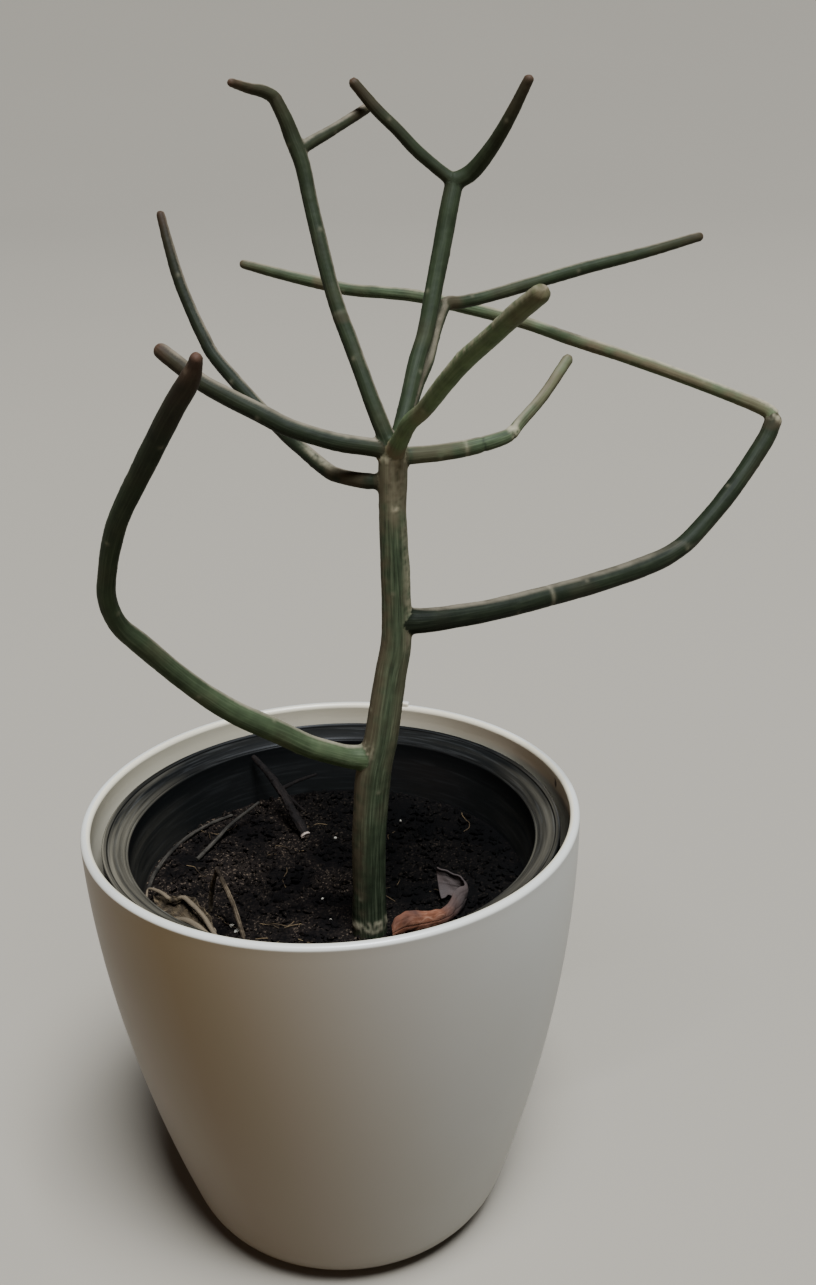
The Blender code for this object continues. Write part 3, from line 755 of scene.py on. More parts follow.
@dataclass(frozen=True)
class ExpandedPerlite(Finish):
    """Expanded perlite: white, porous volcanic glass, dirtied by the mix round it."""

    name: str = "perlite_expanded"
    colour: str = "#8f8a7e"
    roughness: float = 0.85
    ior: float = 1.50
    relief: float = 0.7
    dirt_colour: str = "#4b4438"
    dirt_edge: Span = (0.4, 0.7)
    pore_size: float = 0.0012
    pore_depth: float = 0.0002

    def draw(self, tree: Tree) -> Drawn:
        """White with brown dirt in its pores.

        Args:
            tree: The material's node tree.

        Returns:
            The dirt over the white, and the outputs for the shader's other sockets.
        """
        place = add(tree, "TexCoord", out="Object")
        pores = add(tree, "TexNoise", {"Vector": place, "Scale": 1 / self.pore_size, "Detail": 4.0})
        dirty = add(tree, "MapRange", {"Value": pores, "From": self.dirt_edge})
        bump = add(tree, "Bump", {"Height": pores, "Strength": self.relief, "Distance": self.pore_depth})
        return (Layer(dirty, self.dirt_colour),), {"Normal": bump}


@dataclass(frozen=True)
class StudioPaper(Finish):
    """Matt background paper: pale and even."""

    name: str = "background_paper_matt"
    colour: str = "#7c766b"
    roughness: float = 0.95
    specular: float = 0.2
    cloud_size: float = 0.5
    cloud_tone: Span = (0.97, 1.0)

    def draw(self, tree: Tree) -> Drawn:
        """A pale colour with hardly visible clouds.

        Args:
            tree: The material's node tree.

        Returns:
            The clouds over the colour, and no other output.
        """
        place = add(tree, "TexCoord", out="Object")
        cloud = add(tree, "TexNoise", {"Vector": place, "Scale": 1 / self.cloud_size, "Detail": 1.0})
        tone = add(tree, "MapRange", {"Value": cloud, "To": self.cloud_tone})
        return (Layer(1.0, tone, "MULTIPLY"),), {}


# Stems and other round, tapering growth


def smooth_route(rows: Sequence[Row], spacing: float) -> np.ndarray:
    """A smooth curve through rows of (x, y, z, radius) in millimetres.

    Args:
        rows: The rows in order.
        spacing: About how far apart the returned points lie, in metres.

    Returns:
        Rows of (x, y, z, radius) in metres.
    """
    knots = [Vector(row) * MM for row in rows]
    knots = [2 * knots[0] - knots[1], *knots, 2 * knots[-1] - knots[-2]]
    route = []
    for before, start, end, after in zip(knots, knots[1:], knots[2:], knots[3:]):
        steps = max(1, round((end - start).to_3d().length / spacing))
        for step in range(steps):
            t = step / steps
            bend = 2 * before - 5 * start + 4 * end - after
            twist = 3 * (start - end) + after - before
            route.append(start + 0.5 * t * ((end - before) + t * (bend + t * twist)))
    route.append(knots[-2])
    return np.array([tuple(row) for row in route])


TIP_DOME = ((0.30, 0.955), (0.55, 0.835), (0.75, 0.66), (0.90, 0.43), (0.98, 0.18))


def domed(route: np.ndarray) -> np.ndarray:
    """Adds a dome of one radius beyond a route's last point.

    Args:
        route: Rows of (x, y, z, radius).

    Returns:
        The longer route.
    """
    last = route[-1]
    onward = last[:3] - route[-2, :3]
    onward /= np.linalg.norm(onward)
    dome = [(*(last[:3] + onward * last[3] * reach), last[3] * share) for reach, share in TIP_DOME]
    return np.vstack([route, dome])


def swept(name: str, route: np.ndarray, swell: float = 0.0, resolution: int = 6) -> bpy.types.Object:
    """A closed round body along a route, made as a bevelled curve and turned into a mesh.

    Args:
        name: The object's name.
        route: Rows of (x, y, z, radius) in metres.
        swell: Added to every radius.
        resolution: The bevel's resolution.

    Returns:
        The mesh object.
    """
    bpy.ops.curve.primitive_bezier_curve_add()
    made = bpy.context.object
    curve = made.data
    curve.splines.clear()
    spline = curve.splines.new("POLY")
    spline.points.add(len(route) - 1)
    places = np.hstack([route[:, :3], np.ones((len(route), 1))])
    spline.points.foreach_set("co", places.reshape(-1))
    spline.points.foreach_set("radius", route[:, 3] + swell)
    curve.dimensions = "3D"
    curve.bevel_depth = 1.0
    curve.bevel_resolution = resolution
    curve.use_fill_caps = True
    activate(made)
    bpy.ops.object.convert(target="MESH")
    bpy.ops.object.mode_set(mode="EDIT")
    bpy.ops.mesh.select_all(action="SELECT")
    bpy.ops.mesh.normals_make_consistent(inside=False)
    bpy.ops.object.mode_set(mode="OBJECT")
    made = bpy.context.object
    made.name = name
    return made


class Along:
    """Says of any point beside a set of routes how far along and round its nearest route it lies."""

    # Keeps the patterns of two neighbouring routes this far apart
    apart = 0.05

    def __init__(self, routes: Sequence[np.ndarray]) -> None:
        """Reads the routes' points, directions and lengths.

        Args:
            routes: Rows of (x, y, z, radius), one array a route.
        """
        self.points = np.vstack([route[:, :3] for route in routes])
        self.radii = np.concatenate([route[:, 3] for route in routes])
        self.stem = np.concatenate([np.full(len(route), number) for number, route in enumerate(routes)])
        ahead, across, reach, total = [], [], [], []
        for route in routes:
            step = np.gradient(route[:, :3], axis=0)
            step /= np.linalg.norm(step, axis=1)[:, None]
            side = Vector(step[0]).orthogonal().normalized()
            sides = []
            for direction in step:
                forward = Vector(direction)
                side = (side - forward * side.dot(forward)).normalized()
                sides.append(tuple(side))
            lengths = np.linalg.norm(np.diff(route[:, :3], axis=0), axis=1)
            ahead.append(step)
            across.append(np.array(sides))
            reach.append(np.concatenate([[0.0], np.cumsum(lengths)]))
            total.append(np.full(len(route), lengths.sum()))
        self.ahead = np.vstack(ahead)
        self.across = np.vstack(across)
        self.reach = np.concatenate(reach)
        self.total = np.concatenate(total)

    def locate(self, places: np.ndarray, block: int = 4000) -> dict[str, np.ndarray]:
        """Finds the nearest route of each place and where the place lies on it.

        Args:
            places: One row of three numbers a place.
            block: How many places are worked out at a time.

        Returns:
            Arrays by name: outward and ahead (directions), stem (the route's number), along and left (the
            distances from its root and to its tip), turn (angle), radius and grain (the fibres' place).
        """
        nearest = []
        for start in range(0, len(places), block):
            part = places[start : start + block]
            square = (part**2).sum(1)[:, None] + (self.points**2).sum(1) - 2.0 * part @ self.points.T
            nearest.append(np.argmin(np.sqrt(np.maximum(square, 0.0)) - self.radii, axis=1))
        index = np.concatenate(nearest)
        offset = places - self.points[index]
        ahead, across = self.ahead[index], self.across[index]
        up = np.cross(ahead, across)
        forward = (offset * ahead).sum(1)
        turn = np.arctan2((offset * up).sum(1), (offset * across).sum(1))
        along = self.reach[index] + forward
        radius = self.radii[index]
        stem = self.stem[index]
        grain = np.stack([np.cos(turn) * radius + stem * self.apart, np.sin(turn) * radius, along], axis=1)
        aside = offset - ahead * forward[:, None]
        return {
            "outward": aside / np.maximum(np.linalg.norm(aside, axis=1), TINY)[:, None],
            "ahead": ahead,
            "stem": stem,
            "along": along,
            "left": self.total[index] - along,
            "turn": turn,
            "radius": radius,
            "grain": grain,
        }


class MarkKind(Enum):
    """What can mark a stem's skin."""

    RING = "ring"
    SCAR = "scar"
    CORK = "cork"
    COLLAR = "collar"
    CRACK = "crack"


RING, SCAR, CORK, COLLAR, CRACK = MarkKind


@dataclass(frozen=True)
class Mark:
    """A mark on a stem: its kind, its middle and half length in mm, its strength and the side that it is on.

    Without a side it runs all round. The spread says how softly it ends beside that side.
    """

    kind: MarkKind
    at: float
    half: float = 1.2
    strength: float = 1.0
    toward: Triple | None = None
    spread: float = 0.14


@dataclass(frozen=True)
class Stem:
    """A stem: (x, y, z, radius) rows in mm from its root to one radius short of its tip, and its skin.

    The age runs from 0, fresh, to 1, woody. The shade is painted shade, partly the stem's own darker
    green: it runs from 0, pale, to 1, dark, and is given for the root and the tip. The last direction is
    where the light comes from; the skin on that side has a painted highlight.
    """

    rows: tuple[Row, ...]
    age: float = 0.4
    tip_brown: float = 0.6
    marks: tuple[Mark, ...] = ()
    shade: Span = (0.35, 0.35)
    highlight_side: Triple = (0.50, 0.30, 0.80)


TRUNK = Stem(
    (
        (13, -38, 110, 5.2), (13, -38, 135, 6.6), (12.5, -38, 154, 6.8), (13, -38, 177.5, 6.4),
        (14, -38, 200, 6.5), (16.5, -37.5, 224, 6.6), (20, -37, 239, 6.2), (24, -35, 261, 5.8),
        (26.8, -34, 276, 5.5), (27.2, -33.5, 300, 5.2), (27, -33, 320, 4.9), (27.8, -32.2, 342, 5.1),
    ),
    age=1.0, tip_brown=0.0,
    marks=(
        Mark(COLLAR, 50, 2.4, 0.55), Mark(SCAR, 124, 3.2, 0.5, (-0.6, -0.6, 0.5)),
        Mark(SCAR, 217, 1.3, 0.85, (0.1, -0.99, 0), 0.04), Mark(CORK, 232, 22, 0.55),
        # Left-flank cork at 130 is partly painted shade; the right-flank scar at 190 is a painted highlight
        Mark(SCAR, 226, 13, 0.24, (0.2, -0.98, 0), 0.30), Mark(CORK, 130, 78, 0.60, (-0.9, -0.4, 0), 0.34),
        Mark(CORK, 150, 36, 0.35, (0.9, -0.45, 0), 0.30), Mark(SCAR, 190, 26, 0.32, (0.92, -0.38, 0), 0.20),
        Mark(COLLAR, 234.5, 1.4, 0.6),
    ),
    shade=(0.96, 0.30),
)
STEMS = {
    "lower_left": Stem(
        (
            (17.5, -38, 230, 5.2), (8, -39, 231.5, 4.4), (1.5, -41, 234.5, 4.2), (-8, -44, 240, 4.2),
            (-17, -48, 247.5, 4.2), (-34, -54, 260.5, 4.1), (-48.5, -60, 276, 3.7), (-61, -67, 293, 3.6),
            (-67, -70, 301.5, 3.3), (-69, -74, 312.5, 3.1), (-67, -78, 324, 3.1), (-64, -82, 334.5, 3.3),
            (-60, -87, 344.5, 3.3), (-49.8, -97, 363, 3.5), (-40, -109, 380.6, 3.4),
            (-33.5, -117, 391.2, 3.2), (-31.1, -120, 396.2, 2.3), (-30.4, -121.4, 398.7, 1.9),
        ),
        age=0.55, tip_brown=0.9, shade=(0.42, 1),
    ),
    "lower_right": Stem(
        (
            (27.5, -34, 282.5, 5), (39, -32, 281.5, 4.5), (60.5, -24, 280.5, 4.1), (82, -15, 281, 4),
            (104.5, -6, 282.5, 3.9), (127, 4, 285, 3.9), (138.5, 9, 288, 3.6), (148, 14, 293.5, 3.5),
            (164.5, 24, 307.5, 3.5), (179, 34, 323, 3.5), (183.4, 37, 330.8, 3.3),
        ),
        age=0.5, tip_brown=0.0,
        marks=(
            Mark(RING, 62, 0.8, 0.35), Mark(CORK, 190, 4, 0.5), Mark(SCAR, 191, 2.4, 0.5),
        ),
        shade=(0.98, 0.90), highlight_side=(0.80, 0.35, 0.45),
    ),
    "long_right": Stem(
        (
            (184, 38, 332.5, 2.9), (180.5, 40, 335, 2.8), (172, 44, 338.5, 2.7), (151, 54, 346, 2.6),
            (129, 62, 353.5, 2.6), (106.5, 70, 360.5, 2.6), (88, 78, 366.5, 2.6), (64, 88, 372, 2.6),
            (48, 94, 375.5, 2.6), (34, 98, 377, 2.6), (19.5, 103, 378, 2.6), (6.5, 108, 380.5, 2.6),
            (-8.5, 112, 384, 2.4), (-24.6, 116.6, 388.1, 2),
        ),
        age=0.6,
        marks=(
            Mark(CORK, 8, 12, 0.5), Mark(CORK, 46, 38, 0.75, (0.1, -0.98, 0.05), 0.34),
            Mark(CORK, 76, 10, 0.5), Mark(SCAR, 2, 7, 0.9, (0.1, -0.2, 0.97)),
            Mark(SCAR, 34, 40, 0.70, (0.2, 0.12, 0.97), 0.14), Mark(CORK, 196, 3, 0.5),
        ),
        shade=(0.10, 0.62), highlight_side=(0.10, -0.04, 0.98),
    ),
    "back": Stem(
        (
            (30, -28, 345.5, 2.7), (39, 2, 358.5, 2.4), (44.5, 14, 366, 2.3), (48, 26, 373, 2.3),
            (52, 38, 379, 2.4), (54.5, 42, 381.5, 2.7), (60.5, 44, 381.5, 2.5), (73.5, 49, 383, 2.5),
            (109, 61, 389.3, 2.5), (135.5, 70.3, 393.1, 2.3), (161, 79.1, 397.5, 1.9),
        ),
        marks=(Mark(CORK, 84, 4, 0.5),), shade=(0.70, 0.86),
    ),
    "left_tall": Stem(
        (
            (26.5, -32, 348, 3.1), (23.5, -29, 356, 3), (20.5, -25, 364.5, 2.9), (15, -16, 381, 2.8),
            (12, -12, 389.5, 2.8), (8.5, -6, 403, 2.7), (4, 4, 425.5, 2.7), (2, 8, 437, 2.8),
            (-1, 10, 446, 2.8), (-3, 10, 452, 2.6), (-6, 10, 458.5, 2.4),
        ),
        tip_brown=0.3, marks=(Mark(RING, 48, 0.8, 0.15), Mark(CORK, 46, 2, 0.25)), shade=(0.85, 0.85),
    ),
    "left_hook": Stem(
        (
            (-6.5, 10, 459.5, 2.3), (-10.5, 8, 461.5, 2.1), (-14.5, 5, 462.5, 1.8),
            (-20.2, -1.2, 464.8, 1.5),
        ),
        tip_brown=0.8, shade=(0.85, 0.88),
    ),
    "left_twig": Stem(
        ((1.5, 9.5, 442, 2.1), (5.5, 13, 444, 2.1), (14.5, 20, 448, 1.9), (26, 30.6, 453.6, 1.8)),
        tip_brown=0.7, shade=(0.85, 0.88),
    ),
    "centre": Stem(
        (
            (29, -31, 346.5, 2.8), (33.5, -19, 356, 2.9), (39, -6, 370.5, 3.1), (42.5, 0, 378.5, 3.1),
            (47, 9, 394, 3.2), (51.5, 17, 410.5, 3.4), (53.5, 20, 418.5, 3.4), (56, 24, 427, 3.3),
        ),
        tip_brown=0.0, shade=(0.80, 0.84), highlight_side=(0.85, 0.45, 0.30),
    ),
    "centre_fork_left": Stem(
        (
            (55.5, 24, 428.5, 2.6), (50.5, 24, 432.5, 2.3), (43, 24, 439, 2.3), (36, 24, 446.5, 2.2),
            (29, 24, 453.5, 2.2), (21.5, 24, 462.4, 1.9),
        ),
        tip_brown=0.7, shade=(0.84, 0.88),
    ),
    "centre_fork_right": Stem(
        (
            (56, 24, 428, 3.1), (62.5, 23, 431.3, 3), (69.5, 18, 440.5, 2.6), (75, 13, 450.5, 2.3),
            (80.7, 8.4, 462.4, 1.8),
        ),
        tip_brown=0.7, shade=(0.84, 0.88),
    ),
    "front": Stem(
        (
            (28.5, -35, 346, 3.2), (30.5, -40, 352, 3), (33, -46, 358.5, 2.9), (37.5, -54, 365, 2.9),
            (43.5, -68, 377, 3), (49, -79, 386.5, 3.1), (55, -92, 395.5, 3), (61, -106, 405, 3),
            (65.7, -116, 411.5, 2.9),
        ),
        age=0.3,
        marks=(
            # The pale scars on the upper left edge, at 78 and 119, are a painted highlight
            Mark(CORK, 0, 5, 0.7), Mark(SCAR, 78, 46, 0.55, (-0.88, 0, 0.47), 0.14),
            Mark(SCAR, 119, 6, 0.70, (-0.75, 0, 0.66), 0.12), Mark(CORK, 121, 5, 0.75),
        ),
        shade=(0, 0.15),
    ),
    "left_bow": Stem(
        (
            (27, -32, 345.5, 3.3), (19.5, -32, 347, 3.2), (9.5, -32, 349, 3.2), (-0.5, -31, 352, 3.2),
            (-9, -29, 355, 3.3), (-17.5, -27, 359.5, 3.3), (-35, -20, 368, 3.1), (-44.5, -16, 375, 3),
            (-50, -13.7, 379.3, 2.8),
        ),
        marks=(Mark(CORK, 0, 6, 0.4),), shade=(0.90, 0.95), highlight_side=(0.40, -0.05, 0.92),
    ),
    "right_short": Stem(
        (
            (28.5, -32, 343.3, 3.3), (36, -31, 343, 3.1), (46.5, -30, 343.4, 3), (57, -28, 344.4, 2.9),
            (66, -26, 346, 2.6), (70, -25, 347.5, 2.3), (73.2, -22, 350, 2.1), (82.5, -16, 358, 2),
            (92.4, -9, 369.2, 2),
        ),
        age=0.8,
        marks=(
            Mark(RING, 25, 0.6, 0.40), Mark(CORK, 12, 12, 0.35), Mark(CRACK, 5, 0.7, 0.8),
            Mark(CRACK, 31.6, 0.7, 0.8), Mark(SCAR, 43.2, 1.6, 0.7),
            Mark(CRACK, 42.4, 0.5, 1, (0, -0.8, -0.6), 0.8), Mark(CORK, 64, 15, 0.35),
        ),
        shade=(0.72, 0),
    ),
    "left_thin": Stem(
        (
            (26.5, -32, 334, 3), (18, -29, 334, 2.8), (9.5, -24, 334.7, 2.7), (5, -20, 336, 2.7),
            (-3.5, -11, 341.5, 2.6), (-13, 0, 348.5, 2.5), (-32.5, 18, 368, 2.5), (-37.8, 24, 376.5, 2.4),
            (-42.2, 30, 386, 2.3), (-45.8, 35, 395.5, 2.2), (-48.6, 40, 405.8, 2), (-51.4, 46, 417.8, 1.7),
        ),
        marks=(
            Mark(CRACK, 6, 1, 0.9), Mark(CORK, 14, 10, 0.5), Mark(SCAR, 30, 8, 0.35, (0, -0.5, 0.85)),
        ),
        shade=(0.92, 0.96), highlight_side=(0.40, 0.25, 0.88),
    ),
}


@dataclass
class PencilCactus:
    """The living plant: every stem swept, grown together and marked, as one mesh.

    The marks' own values are how much each kind raises the skin, or cuts into it, how much of its place it
    covers, and how far the two noises fray and chip its edge.
    """

    voxel: float = 0.00077
    route_spacing: float = 0.0009
    shrink_allowance: float = 0.00010
    smooth_passes: int = 4
    undulation: float = 0.045
    undulation_size: float = 0.011
    pore_height: float = 0.00006
    pore_size: float = 0.0021
    ragged_size: float = 0.004
    chip_size: float = 0.0014
    ring_edge: float = 0.00008
    ring_edge_at: float = 2.2
    ring_groove: float = 0.00016
    ring_paleness: float = 0.55
    scar_height: float = 0.00020
    scar_cover: float = 0.70
    scar_fraying: float = 0.8
    scar_chipping: float = 1.2
    crack_depth: float = 0.00025
    crack_chipping: float = 0.4
    collar_height: float = 0.0006
    collar_fraying: float = 0.5
    flake_size: float = 0.0012
    flake_cover: float = 0.35
    flake_contrast: float = 1.3
    cork_reach: float = 1.35
    cork_fraying: float = 0.9
    bud_spacing: float = 0.0155
    bud_size: float = 0.0008
    bud_height: float = 0.00014
    bud_paleness: float = 0.16
    tip_length: float = 0.004
    tip_fraying: float = 0.35
    blush_length: float = 0.012
    blush_strength: float = 0.55
    blush_fraying: float = 0.5
    blotch_size: float = 0.013
    blotch_strength: float = 0.40
    blotch_contrast: float = 2.0
    blotch_gap: float = 0.2
    blotch_in_shade: float = 0.8
    # Painted highlight on each stem's lit side: where it sets in, how wide it grows, and the slope it needs
    highlight_from: float = 0.80
    highlight_edge: float = 0.17
    highlight_slope: float = 0.6
    skin: Finish = SucculentSkin()

    def stems(self) -> list[Stem]:
        """The trunk and all its stems, in one list."""
        return [TRUNK, *STEMS.values()]

    def build(self) -> bpy.types.Object:
        """Makes the plant.

        Returns:
            The plant's mesh object.
        """
        routes = [domed(smooth_route(stem.rows, self.route_spacing)) for stem in self.stems()]
        bodies = [swept(f"stem_{n}", route, self.shrink_allowance) for n, route in enumerate(routes)]
        plant = joined(bodies, "cactus_stems")
        apply_modifier(plant, "REMESH", mode="VOXEL", voxel_size=self.voxel, use_smooth_shade=True)
        apply_modifier(plant, "SMOOTH", factor=0.5, iterations=self.smooth_passes)
        self.weather(plant, routes)
        return self.skin.dress(plant, "cactus_stems", 180.0)

    def weather(self, plant: bpy.types.Object, routes: Sequence[np.ndarray]) -> None:
        """Raises the skin's relief and stores the values that drive its colours.

        Args:
            plant: The smooth plant.
            routes: The routes that it grew along.
        """
        places, normals = coordinates(plant), coordinates(plant, "normal")
        spot = Along(routes).locate(places)
        stem, along, left, radius = (spot[key] for key in ("stem", "along", "left", "radius"))
        ragged = noise_at(places, self.ragged_size, 3.0)
        looks = zip(*((plan.age, plan.tip_brown, plan.highlight_side, *plan.shade) for plan in self.stems()))
        ages, browns, highlight_sides, roots, tips = (np.array(values)[stem] for values in looks)
        lift = radius * self.undulation * noise_at(places, self.undulation_size)
        lift += self.pore_height * noise_at(places, self.pore_size, 7.0)
        scar, cork, dark = self.mark(places, spot, ragged, lift)
        bud = self.buds(spot)
        lift += self.bud_height * bud
        scar = np.maximum(scar, self.bud_paleness * bud)
        share = np.clip(along / np.maximum(along + left, TINY), 0.0, 1.0)
        # Painted shade, partly the stem's own darker green, from the root's value to the tip's
        shade = roots + (tips - roots) * share
        clouds = noise_at(places, self.blotch_size, 11.0)
        blotch = np.clip(self.blotch_contrast * clouds - self.blotch_gap, 0.0, 1.0)
        blotch *= 1.0 - self.blotch_in_shade * shade
        cork = np.maximum(cork * (1.0 - dark), self.blotch_strength * blotch)
        end = np.clip(1.0 - left / self.tip_length + self.tip_fraying * ragged, 0.0, 1.0)
        blush = self.blush_strength * np.exp(-np.maximum(left, 0.0) / self.blush_length)
        blush *= 1.0 + self.blush_fraying * ragged
        tip = np.clip(np.maximum(end, blush), 0.0, 1.0) * browns
        move_to(plant, places + normals * lift[:, None])
        # The painted highlight on the side of each stem that faces the light
        write_attribute(plant, "highlight_side", self.highlighted(spot, highlight_sides))
        write_attribute(plant, "grain", spot["grain"])
        write_attribute(plant, "skin", np.stack([ages, tip, scar * (1.0 - dark), cork], axis=1))
        write_attribute(plant, "shade", np.maximum(shade, dark))

    def mark(
        self, places: np.ndarray, spot: dict[str, np.ndarray], ragged: np.ndarray, lift: np.ndarray
    ) -> tuple[np.ndarray, np.ndarray, np.ndarray]:
        """Puts every stem's marks on the skin.

        Args:
            places: The skin's points.
            spot: Where each point lies on its stem.
            ragged: The noise that frays the marks' edges.
            lift: How far each point is raised, which the marks change.

        Returns:
            How scarred, how corky and how dark each point is.
        """
        scar, cork, dark = (np.zeros(len(places)) for _ in range(3))
        chipped = noise_at(places, self.chip_size, 8.0)
        flakes = noise_at(spot["grain"] * (1.0, 1.0, 0.5), self.flake_size, 5.0)
        flaky = np.clip(self.flake_cover + self.flake_contrast * flakes, 0.0, 1.0)
        for number, plan in enumerate(self.stems()):
            for each in plan.marks:
                distance = (spot["along"] - each.at * MM) / (each.half * MM)
                near = (spot["stem"] == number) * each.strength
                if each.toward:
                    aim = np.array(each.toward) / np.linalg.norm(each.toward)
                    near = near * np.exp(-(((1.0 - spot["outward"] @ aim) / each.spread) ** 2))
                if each.kind is RING:
                    groove = np.exp(-(distance**2)) * near
                    edge = np.exp(-((np.abs(distance) - self.ring_edge_at) ** 2)) * near
                    lift += self.ring_edge * edge - self.ring_groove * groove
                    scar = np.maximum(scar, self.ring_paleness * groove)
                elif each.kind is SCAR:
                    patch = np.exp(-(distance**4)) * near
                    frayed = self.scar_cover + self.scar_fraying * ragged + self.scar_chipping * chipped
                    patch *= np.clip(frayed, 0.0, 1.0)
                    lift += self.scar_height * patch
                    scar = np.maximum(scar, patch)
                elif each.kind is CRACK:
                    patch = np.exp(-((distance - self.crack_chipping * chipped) ** 2)) * near
                    lift -= self.crack_depth * patch
                    dark = np.maximum(dark, patch)
                elif each.kind is COLLAR:
                    patch = np.exp(-((distance - self.collar_fraying * ragged) ** 4)) * flaky * near
                    lift += self.collar_height * patch
                    scar = np.maximum(scar, patch)
                else:
                    frayed = self.cork_reach - np.abs(distance) + self.cork_fraying * ragged
                    cork = np.maximum(cork, np.clip(frayed, 0.0, 1.0) * near)
        return scar, cork, dark

    def buds(self, spot: dict[str, np.ndarray]) -> np.ndarray:
        """Strength of the leaf scars, which wind up each stem by the golden angle.

        Args:
            spot: Where each point lies on its stem.

        Returns:
            One value from 0 to 1 for each point.
        """
        order = np.round(spot["along"] / self.bud_spacing)
        centre_turn = (order * GOLDEN_ANGLE + spot["stem"]) % math.tau
        gap = np.angle(np.exp(1j * (spot["turn"] - centre_turn))) * spot["radius"]
        reach = np.hypot(spot["along"] - order * self.bud_spacing, gap) / self.bud_size
        return np.exp(-(reach**2)) * (spot["left"] > self.tip_length)

    def highlighted(self, spot: dict[str, np.ndarray], highlight_sides: np.ndarray) -> np.ndarray:
        """How much painted highlight each point has, on the side of its stem that faces the light.

        Args:
            spot: Where each point lies on its stem.
            highlight_sides: The direction of the light on each point's stem.

        Returns:
            One value from 0 to 1 for each point.
        """
        upper = highlight_sides - spot["ahead"] * (spot["ahead"] * highlight_sides).sum(1)[:, None]
        level = np.linalg.norm(upper, axis=1)
        top = (spot["outward"] * upper).sum(1) / np.maximum(level, TINY)
        lit = np.clip((top - self.highlight_from) / self.highlight_edge, 0.0, 1.0)
        return lit * np.clip(level / self.highlight_slope, 0.0, 1.0)


# Pots


@dataclass
class Planter:
    """The outer shell: a curved, tapering wall with a rounded lip and foot, and a small lug on its rim."""

    rim_radius: float = 0.100
    height: float = 0.190
    taper: float = 0.365
    bulge: float = 1.82
    wall: float = 0.0030
    lip: float = 0.0039
    lip_depth: float = 0.006
    foot_rise: float = 0.018
    foot_flat: float = 0.0450
    lug_azimuth: float = math.radians(68.5)
    lug_size: Triple = (0.0026, 0.0050, 0.0040)
    lug_rise: float = 0.0016
    lug_rounding: float = 0.0008
    steps: int = 192
    wall_steps: int = 26
    foot_steps: int = 12
    finish: Finish = MouldedPolypropylene()

    def radius(self, height: float) -> float:
        """Outer radius of the wall at a height."""
        return self.rim_radius * (1.0 - self.taper * (1.0 - height / self.height) ** self.bulge)

    def foot(self, inset: float) -> list[Point]:
        """The curve from the flat foot into the wall.

        Args:
            inset: 0 on the outside, or the wall's thickness on the inside.

        Returns:
            The (radius, height) points.
        """
        rise = self.foot_rise
        slope = (self.radius(rise * 1.1) - self.radius(rise * 0.9)) / (rise * 0.2)
        flat = Vector((self.foot_flat, inset))
        top = Vector((self.radius(rise) - inset, rise))
        corner = Vector((top.x - slope * (rise - inset), inset))
        shares = [step / self.foot_steps for step in range(self.foot_steps + 1)]
        return [tuple(flat * (1 - t) ** 2 + corner * 2 * t * (1 - t) + top * t**2) for t in shares]

    def build(self) -> bpy.types.Object:
        """Makes the planter.

        Returns:
            The shell with its lug, as one mesh.
        """
        wall_end = self.height - self.lip_depth
        rise = wall_end - self.foot_rise
        heights = [self.foot_rise + rise * step / self.wall_steps for step in range(self.wall_steps + 1)]
        middle = self.rim_radius - self.lip / 2
        lip_centre = (middle, self.height - self.lip / 2)
        outline = [(0.0, 0.0), *self.foot(0.0)[:-1]]
        outline += [(self.radius(height), height) for height in heights]
        outline += arc(lip_centre, self.lip / 2, -10, 190, 18)
        outline += [(self.radius(height) - self.wall, height) for height in reversed(heights)]
        outline += [*reversed(self.foot(self.wall)[:-1]), (0.0, self.wall)]
        shell = turned("planter_shell", outline, self.steps)
        through, along, tall = self.lug_size
        x, y = middle * math.cos(self.lug_azimuth), middle * math.sin(self.lug_azimuth)
        place = (x, y, self.height + self.lug_rise - tall / 2)
        bpy.ops.mesh.primitive_cube_add(size=1.0, location=place, rotation=(0, 0, self.lug_azimuth))
        lug = bpy.context.object
        lug.scale = (through, along, tall)
        settled(lug, "rim_lug")
        apply_modifier(lug, "BEVEL", width=self.lug_rounding, segments=3)
        apply_modifier(shell, "BOOLEAN", operation="UNION", object=lug, solver="EXACT")
        bpy.data.objects.remove(lug)
        return self.finish.dress(shell, "planter_shell")


